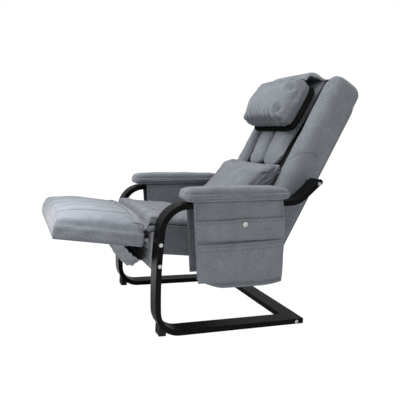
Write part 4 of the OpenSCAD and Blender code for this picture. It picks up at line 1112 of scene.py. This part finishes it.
flap_half_w = 0.162
flap_t = 0.013
flap_tail_t = 0.008
flap_tail_l = 0.090
flap_droop = 0.016
hem_w = 0.0022
flap_s = pillow_s0 + pillow_l + soft_gap
flap_top_s = surround_top - top_dip + soft_gap
flap_bend_r = flap_top_s - flap_s
flap_front_d = pillow_back_d + pillow_sink + pillow_band / 2 - flap_bend_r
tail_r = 0.012
tail_inset = 0.0044
tail_d = tail_r - tail_inset
tail_s = flap_top_s - tail_r
over = []
for angle in np.linspace(0, math.pi / 2, 16):
    bend_d, bend_s = flap_bend_r * math.cos(angle), flap_bend_r * math.sin(angle)
    over.append((flap_front_d + bend_d, flap_s + bend_s, flap_t))
over.append((tail_d, flap_top_s, flap_t))
for angle in np.linspace(0, math.pi / 2, 8)[1:]:
    thin = flap_t + (flap_tail_t - flap_t) * angle / (math.pi / 2)
    over.append((tail_d - tail_r * math.sin(angle), tail_s + tail_r * math.cos(angle), thin))
over.append((tail_d - tail_r, tail_s - flap_tail_l, flap_tail_t))
over = np.array(over)
run = np.concatenate([[0], np.cumsum(np.linalg.norm(np.diff(over[:, :2], axis=0), axis=1))])
flap_l = run[-1]
corners, faces = block_skin(60, 76, 4)
x, y, z = rounded_block(corners, (flap_half_w, flap_l / 2, 0.5), 0.0).T
u, v, w = corners.T
way = (v + 1) / 2 * flap_l
under_d = np.interp(way, run, over[:, 0])
under_s = np.interp(way, run, over[:, 1])
thick = np.interp(way, run, over[:, 2])
step = 0.002
ahead_d = np.interp(way + step, run, over[:, 0]) - np.interp(way - step, run, over[:, 0])
ahead_s = np.interp(way + step, run, over[:, 1]) - np.interp(way - step, run, over[:, 1])
long = np.maximum(np.hypot(ahead_d, ahead_s), tiny)
edge = 1 - 0.72 * np.abs(u) ** 26 * (w > 0)
stitched = dent(np.abs(np.abs(x) - (flap_half_w - 0.010)), hem_w) * (w > 0)
soft = 0.0014 * rumple(np.column_stack([x, way, w * 0]), 0.06, 13) * (w > 0)
droop = flap_droop * smooth_step(np.abs(u), 0.80, 1.0) * smooth_step(way, 0.02, 0.06)
droop *= 1 - smooth_step(way, 0.09, 0.14)
past_top = flap_l - flap_tail_l - tail_r * math.pi / 2
side_rise = top_dip * (1 - smooth_step(dip_x - np.abs(x), 0, dip_run)) * smooth_step(way, 0.10, 0.15)
side_rise *= 1 - smooth_step(way, past_top - 0.01, past_top + 0.008)
lift = (w + 1) / 2 * thick * edge - 0.0016 * stitched + soft - droop + side_rise
flap_d = under_d + ahead_s / long * lift
flap_up = under_s - ahead_d / long * lift
flap = make_piece("pillow_flap_cover", in_back(x, flap_d, flap_up), faces)
# Painted shade in the stitched hem lines.
paint_seam_shade(flap, stitched * 0.7)
finer(flap)
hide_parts("pillow_flap")
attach(flap, "head_pillow")

# Lumbar cushion
# A loose wedge-shaped cushion lies on the seat against the back. Its top and foot are level, and its ends
# are puckered where the cover is closed.
lumbar_half_w = 0.222
lumbar_l = 0.272
lumbar_s0 = 0.0126
lumbar_back_d = 0.1344
lumbar_band = 0.0875
lumbar_taper = 0.50
lumbar_rise = 0.022
lumbar_sink = 0.021
lumbar_edge_r = 0.018
corners, faces = block_skin(84, 46, 12)
half = (lumbar_half_w, lumbar_l / 2)
x, y, z = stuffed(corners, half, lumbar_band, lumbar_rise, lumbar_sink, lumbar_edge_r, loose_tuck, 4)
u, v, w = corners.T
z = z - np.clip(z / lumbar_band, 0, 1) * lumbar_taper * v * lumbar_band
end = np.exp(-(1 - np.abs(u)) * lumbar_half_w / 0.045)
pucker = np.sin(v * 10 + 3.2 * np.sin(v * 4 + 2 * w) + 2 * w) * end
x = x - 0.0065 * np.abs(pucker) * np.sign(u)
z = z + 0.0060 * pucker * (w > 0) + 0.006 * rumple(np.column_stack([x, y, z]), 0.08, 15) * (w > 0)
y = y - z * math.tan(back_lean)
points = in_back(x, z + lumbar_back_d + lumbar_sink, y + lumbar_s0 + lumbar_l / 2)
lumbar = make_piece("lumbar_cushion_cover", points, faces)
# Painted shade in the puckers, and a lighter painted shade over both ends.
paint_seam_shade(lumbar, np.clip(-1.3 * pucker, 0, 1) * 0.9 + 0.25 * end)
swell(lumbar, np.where(w > -0.2, 0, 1), 0.004, 2.0, 0.02)
finer(lumbar)
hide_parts("lumbar_cushion")
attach(lumbar, "lumbar_cushion")

# Arm covers
# A cloth saddle lies over each arm under its pad. The outer flap carries two pockets, and a stitched
# band runs down its front edge.
arm_rise = math.radians(2.2)
arm_start_y = -0.5129
arm_start_z = 0.4969
wood_t = 0.022
frame_low, frame_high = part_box("side_frame_left")
frame_in_x = frame_low.x
frame_out_x = frame_high.x
cloth_t = 0.0022
cover_l = 0.395
cover_front_y = arm_start_y + 0.015
cover_rear_y = cover_front_y + cover_l
cover_lean = 0.032
cover_rear_draw = 0.012
outer_hem_z = 0.186
inner_hem_z = 0.226
saddle_r = 0.004
outer_rows = 52
inner_rows = 42
cover_columns = 66
front_lift = 0.032
rear_lift = 0.008
hem_sag = 0.007
crease_h = 0.0020
stitch_h = 0.0006


def arm_top(y):
    """Height of the arm strip's upper face."""
    return arm_start_z + (y - arm_start_y) * math.tan(arm_rise) + wood_t / 2 / math.cos(arm_rise)


def mirrored(points, side):
    """The same points on the chair's left side, 1, or right side, -1."""
    return np.asarray(points) * (side, 1, 1)


def cover_line(v):
    """The saddle's section at v, from 0 at the front edge to 1 at the rear: points from the outer hem on."""
    spots = []
    lift = front_lift * max(0, 1 - v / 0.30) ** 1.6 - hem_sag * math.sin(math.pi * v)
    lift += rear_lift * max(0, (v - 0.75) / 0.25) ** 2
    sides = ((1, outer_hem_z + lift, outer_rows), (-1, inner_hem_z, inner_rows))
    for side, hem, rows in sides:
        face = frame_out_x if side > 0 else frame_in_x
        half = []
        for k in range(rows + 1):
            f = k / rows
            front = cover_front_y + cover_lean * (1 - f)
            rear = cover_rear_y + cover_lean * 0.25 * math.sin(math.pi * f) - cover_rear_draw * f ** 4
            rear += 0.0030 * math.sin(9 * f + 1) * (1 - f) + 0.006 * (1 - f) ** 2
            y = front + (rear - front) * v
            top = arm_top(y) + soft_gap + cloth_t
            hang = 1 - f
            fold = cloth_t * hang * (1 + math.sin(3 * math.pi * v))
            crease = math.sin(6 * math.pi * v + 5 * f) * math.sin(math.pi * min(1, hang * 1.6))
            crease = crease_h * hang * crease
            crease += crease_h * rumple([(side, y * 1.4, f * 0.20)], 0.07, 31)[0] * min(1, 2 * hang)
            out = soft_gap + cloth_t + max(0, fold + crease)
            z = hem + (top - saddle_r - hem) * f
            half.append((face + side * out, y, z))
        for k in range(1, 4):
            angle = math.pi / 2 * k / 3
            y = half[rows][1]
            top = arm_top(y) + soft_gap + cloth_t
            out = face + side * (soft_gap + cloth_t - saddle_r + saddle_r * math.cos(angle))
            half.append((out, y, top - saddle_r + saddle_r * math.sin(angle)))
        spots.append(half)
    outer, inner = [np.array(half) for half in spots]
    bridge = [outer[-1] + (inner[-1] - outer[-1]) * k / 9 for k in range(1, 9)]
    return np.vstack([outer, bridge, inner[::-1]])


def facing(rows, side):
    """The rows, turned round on the chair's left side, where their order would face them inwards."""
    return rows[:, ::-1] if side > 0 else rows


cover = np.array([cover_line(j / cover_columns) for j in range(cover_columns + 1)]).transpose(1, 0, 2)
cover_rows = len(cover)
row, column = np.meshgrid(np.arange(cover_rows), np.linspace(0, 1, cover_columns + 1), indexing="ij")
edge_band = np.maximum(dent(column - 0.034, 0.007), dent(column - 0.970, 0.007))
on_flap = (row < outer_rows - 1) | (row > cover_rows - inner_rows)
hem_band = np.maximum(dent(row - 2.2, 0.9), dent(row - (cover_rows - 3.2), 0.9))
sewn_band = np.maximum(edge_band * on_flap, hem_band)
cover[:, :, 0] += np.where(row < cover_rows / 2, -1, 1) * stitch_h * sewn_band
for side, hand in hands:
    points, faces = cloth_sheet(facing(cover, side), cloth_t)
    arm_cover = make_piece(f"arm_cover_cloth_{hand}", mirrored(points, side), faces)
    # Painted shade in the stitched band by each edge and in the hems.
    paint_seam_shade(arm_cover, np.tile(facing(sewn_band, side).ravel() * 0.75, 2))
    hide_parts(f"arm_cover_{hand}")
    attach(arm_cover, "root")

# Pockets
# Two patch pockets are sewn across each outer flap, from edge to edge: a deep one below, and a shallow one
# above it whose mouth is closed by a press snap, from which the cloth puckers.
pocket_inset = 0.004
snap_edge = 0.0009
pocket_rise = math.tan(math.radians(2.7))
snap_low, snap_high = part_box("pocket_snaps")
snap_mid_y = (snap_low.y + snap_high.y) / 2
snap_mid_z = (snap_low.z + snap_high.z) / 2
pockets = {
    "upper": {"foot": 0.368, "mouth": 0.452, "bulge": 0.010, "rows": 20},
    "lower": {"foot": 0.206, "mouth": 0.362, "bulge": 0.012, "rows": 36}}
pocket_columns = 64


def flap_line(z):
    """The outer flap at height z: depth along the chair and distance out, from front edge to rear."""
    line = []
    for j in range(cover_columns + 1):
        column = cover[:outer_rows + 1, j]
        line.append((np.interp(z, column[:, 2], column[:, 1]), np.interp(z, column[:, 2], column[:, 0])))
    return np.array(line)


for name, size in pockets.items():
    up, along = np.meshgrid(
        np.linspace(0, 1, size["rows"] + 1), np.linspace(0, 1, pocket_columns + 1), indexing="ij")
    pocket_h = size["mouth"] - size["foot"]
    z = size["foot"] + up * pocket_h
    y, face_x = np.zeros_like(z), np.zeros_like(z)
    for i in range(size["rows"] + 1):
        line = flap_line(z[i, 0])
        y[i] = line[0, 0] + pocket_inset + along[i] * (line[-1, 0] - line[0, 0] - 2 * pocket_inset)
        face_x[i] = np.interp(y[i], line[:, 0], line[:, 1])
    z = z + (y - snap_mid_y) * pocket_rise * (0.3 + 0.7 * up)
    bow = 1 - (2 * along - 1) ** 2
    closed = np.sqrt(np.clip(up / 0.16, 0, 1)) * (1 - 0.80 * smooth_step(up, 0.45, 1.0))
    out = size["bulge"] * bow * closed
    from_mouth = (1 - up) * pocket_h
    hem = np.maximum(dent(from_mouth - 0.012, hem_w), dent(up * pocket_h - 0.003, hem_w))
    hem = np.maximum(hem, dent(from_mouth - 0.030, hem_w) * (name == "lower"))
    if name == "upper":
        away = np.hypot(y - snap_mid_y, z - snap_mid_z)
        angle = np.arctan2(z - snap_mid_z, y - snap_mid_y)
        pucker = np.cos(7 * angle + 0.6) * np.exp(-((away - 0.014) / 0.030) ** 2) * (away > 0.010)
        out = out + 0.0013 * pucker
        z = z - 0.003 * bow * (1 - dent(y - snap_mid_y, 0.05)) * up ** 3
    else:
        z = z - 0.002 * bow * up ** 2
        lumps = np.stack([face_x, y, z], axis=2).reshape(-1, 3)
        bow_folds = rumple(lumps, 0.05, 12).reshape(z.shape)
        out = out + 0.0026 * bow_folds * np.clip(3 * bow, 0, 1) * np.clip(3 * up, 0, 1) * (1 - up)
    out = np.maximum(out, 0) - stitch_h * hem
    spots = np.stack([face_x + 0.0012 + cloth_t + out, y, z], axis=2)
    flat = (length_of(spots[size["rows"]]), length_of(spots[:, pocket_columns // 2]))
    # Painted shade along the pocket's mouth and in its stitched hems.
    shade = np.maximum(dent(from_mouth, 0.0026), 0.75 * hem)
    for side, hand in hands:
        points, faces = cloth_sheet(facing(spots, side), cloth_t)
        pocket = make_piece(f"{name}_pocket_cloth_{hand}", mirrored(points, side), faces)
        paint_seam_shade(pocket, np.tile(facing(shade, side).ravel() * 0.7, 2))
        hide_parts(f"{name}_pocket_{hand}")
        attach(pocket, "root")
polished, tree, shader = surface("polished_snap", (0.74, 0.73, 0.71), 0.14, metal=1.0)
tree.links.new(spread_over(tree, grain(tree, 900), 0.10, 0.2), shader.inputs["Roughness"])
dress("pocket_snaps", polished, snap_edge)

# Arm pads
# Long foam pads lie on the covers over the arms. Each is quilted in bands along its sides and has a
# round front end and a rolled lower edge.
pad_w = 0.108
pad_h = 0.056
pad_nose_r = 0.040
pad_nose_shift = {"left": 0.018, "right": -0.007}
pad_l = 0.466
pad_front_y = arm_start_y - 0.041
pad_mid_y = pad_front_y + pad_l / 2
pad_band = pad_h * 0.5
pad_rise = pad_h * 0.36
pad_sink = pad_h * 0.14
pad_foot_z = arm_top(pad_mid_y) + cloth_t + 0.0006 + pad_sink
frame_mid_x = (frame_in_x + frame_out_x) / 2
pad_edge_r = 0.0135
pad_tuck = 0.0022
side_lines = (0.006, 0.0155, 0.0235)
corners, faces = block_skin(20, 86, 10)
u, v, w = corners.T
x, y, z = stuffed(corners, (pad_w / 2, pad_l / 2), pad_band, pad_rise, pad_sink, pad_edge_r, pad_tuck, 5)
nose = np.clip((pad_nose_r - (y + pad_l / 2)) / pad_nose_r, 0, 1)
x = x * (1 - pad_nose_r / (pad_w / 2) * (1 - np.sqrt(1 - nose ** 2.2)))
on_side = np.clip((np.abs(x) - pad_w * 0.40) / 0.006, 0, 1) * (np.abs(v) < 0.97)
lines = np.zeros(len(x))
for k, height in enumerate(side_lines):
    wave = 0.0012 * np.sin(y * 14 + 2 * k)
    lines = np.maximum(lines, dent(z - height - wave, hem_w))
lines = lines * on_side
x = x - 0.0018 * lines * np.sign(x)
piping = dent(z + 0.001, 0.004) * on_side
x = x + 0.0022 * piping * np.sign(x)
top_line = dent(np.abs(x) - pad_w * 0.36, 0.003) * (w > 0.5)
z = z - 0.0012 * top_line
z = z + 0.0025 * rumple(np.column_stack([x, y, z]), 0.07, 17) * (w > 0.5)
pad_y = y * math.cos(arm_rise) - z * math.sin(arm_rise)
pad_up = y * math.sin(arm_rise) + z * math.cos(arm_rise)
from_rear = np.clip((pad_l / 2 - y) / pad_l, 0, 1)
for side, hand in hands:
    nose_shift = pad_nose_shift[hand] * smooth_step(from_rear, 0.35, 1.0)
    points = np.column_stack([frame_mid_x + x, pad_mid_y + pad_y + nose_shift, pad_foot_z + pad_up])
    arm_pad = make_piece(f"arm_pad_cover_{hand}", mirrored(points, side), faces)
    # Painted shade in the quilted lines along the sides and in the line along the top.
    paint_seam_shade(arm_pad, np.maximum(lines, top_line) * 0.7)
    finer(arm_pad)
    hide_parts(f"arm_pad_{hand}")
    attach(arm_pad, "root")

# Massage unit and power supply
# Behind the net a moulded carriage climbs a lead screw between two ground steel rods. Its motor swings two
# pairs of rubber rollers on a shaft. A moulded box under the seat feeds both motors.
for node in ("guide_rods", "lead_screw", "kneading_shaft"):
    dress(node, zinc)
carriage_edge = 0.001
case_edge = 0.0015
grey_moulded = fine_grained("grey_moulding", (0.045, 0.048, 0.052), 0.5, 1500, 0.00008, 0.6, level=0.4)
for node in ("carriage", "kneading_arms"):
    dress(node, grey_moulded, carriage_edge)
for node in ("lift_motor", "kneading_motor", "power_supply"):
    dress(node, moulded, case_edge)
bronze = fine_grained("sintered_bronze", (0.50, 0.31, 0.11), 0.4, 2600, 0.00005, 0.7, metal=1.0)
dress("carriage_bushes", bronze)
roller_rubber = fine_grained("roller_rubber", (0.012, 0.012, 0.013), 0.7, 1100, 0.00015, 0.5, level=0.3)
for height in ("upper", "lower"):
    for hand in ("left", "right"):
        dress(f"roller_{height}_{hand}", roller_rubber)
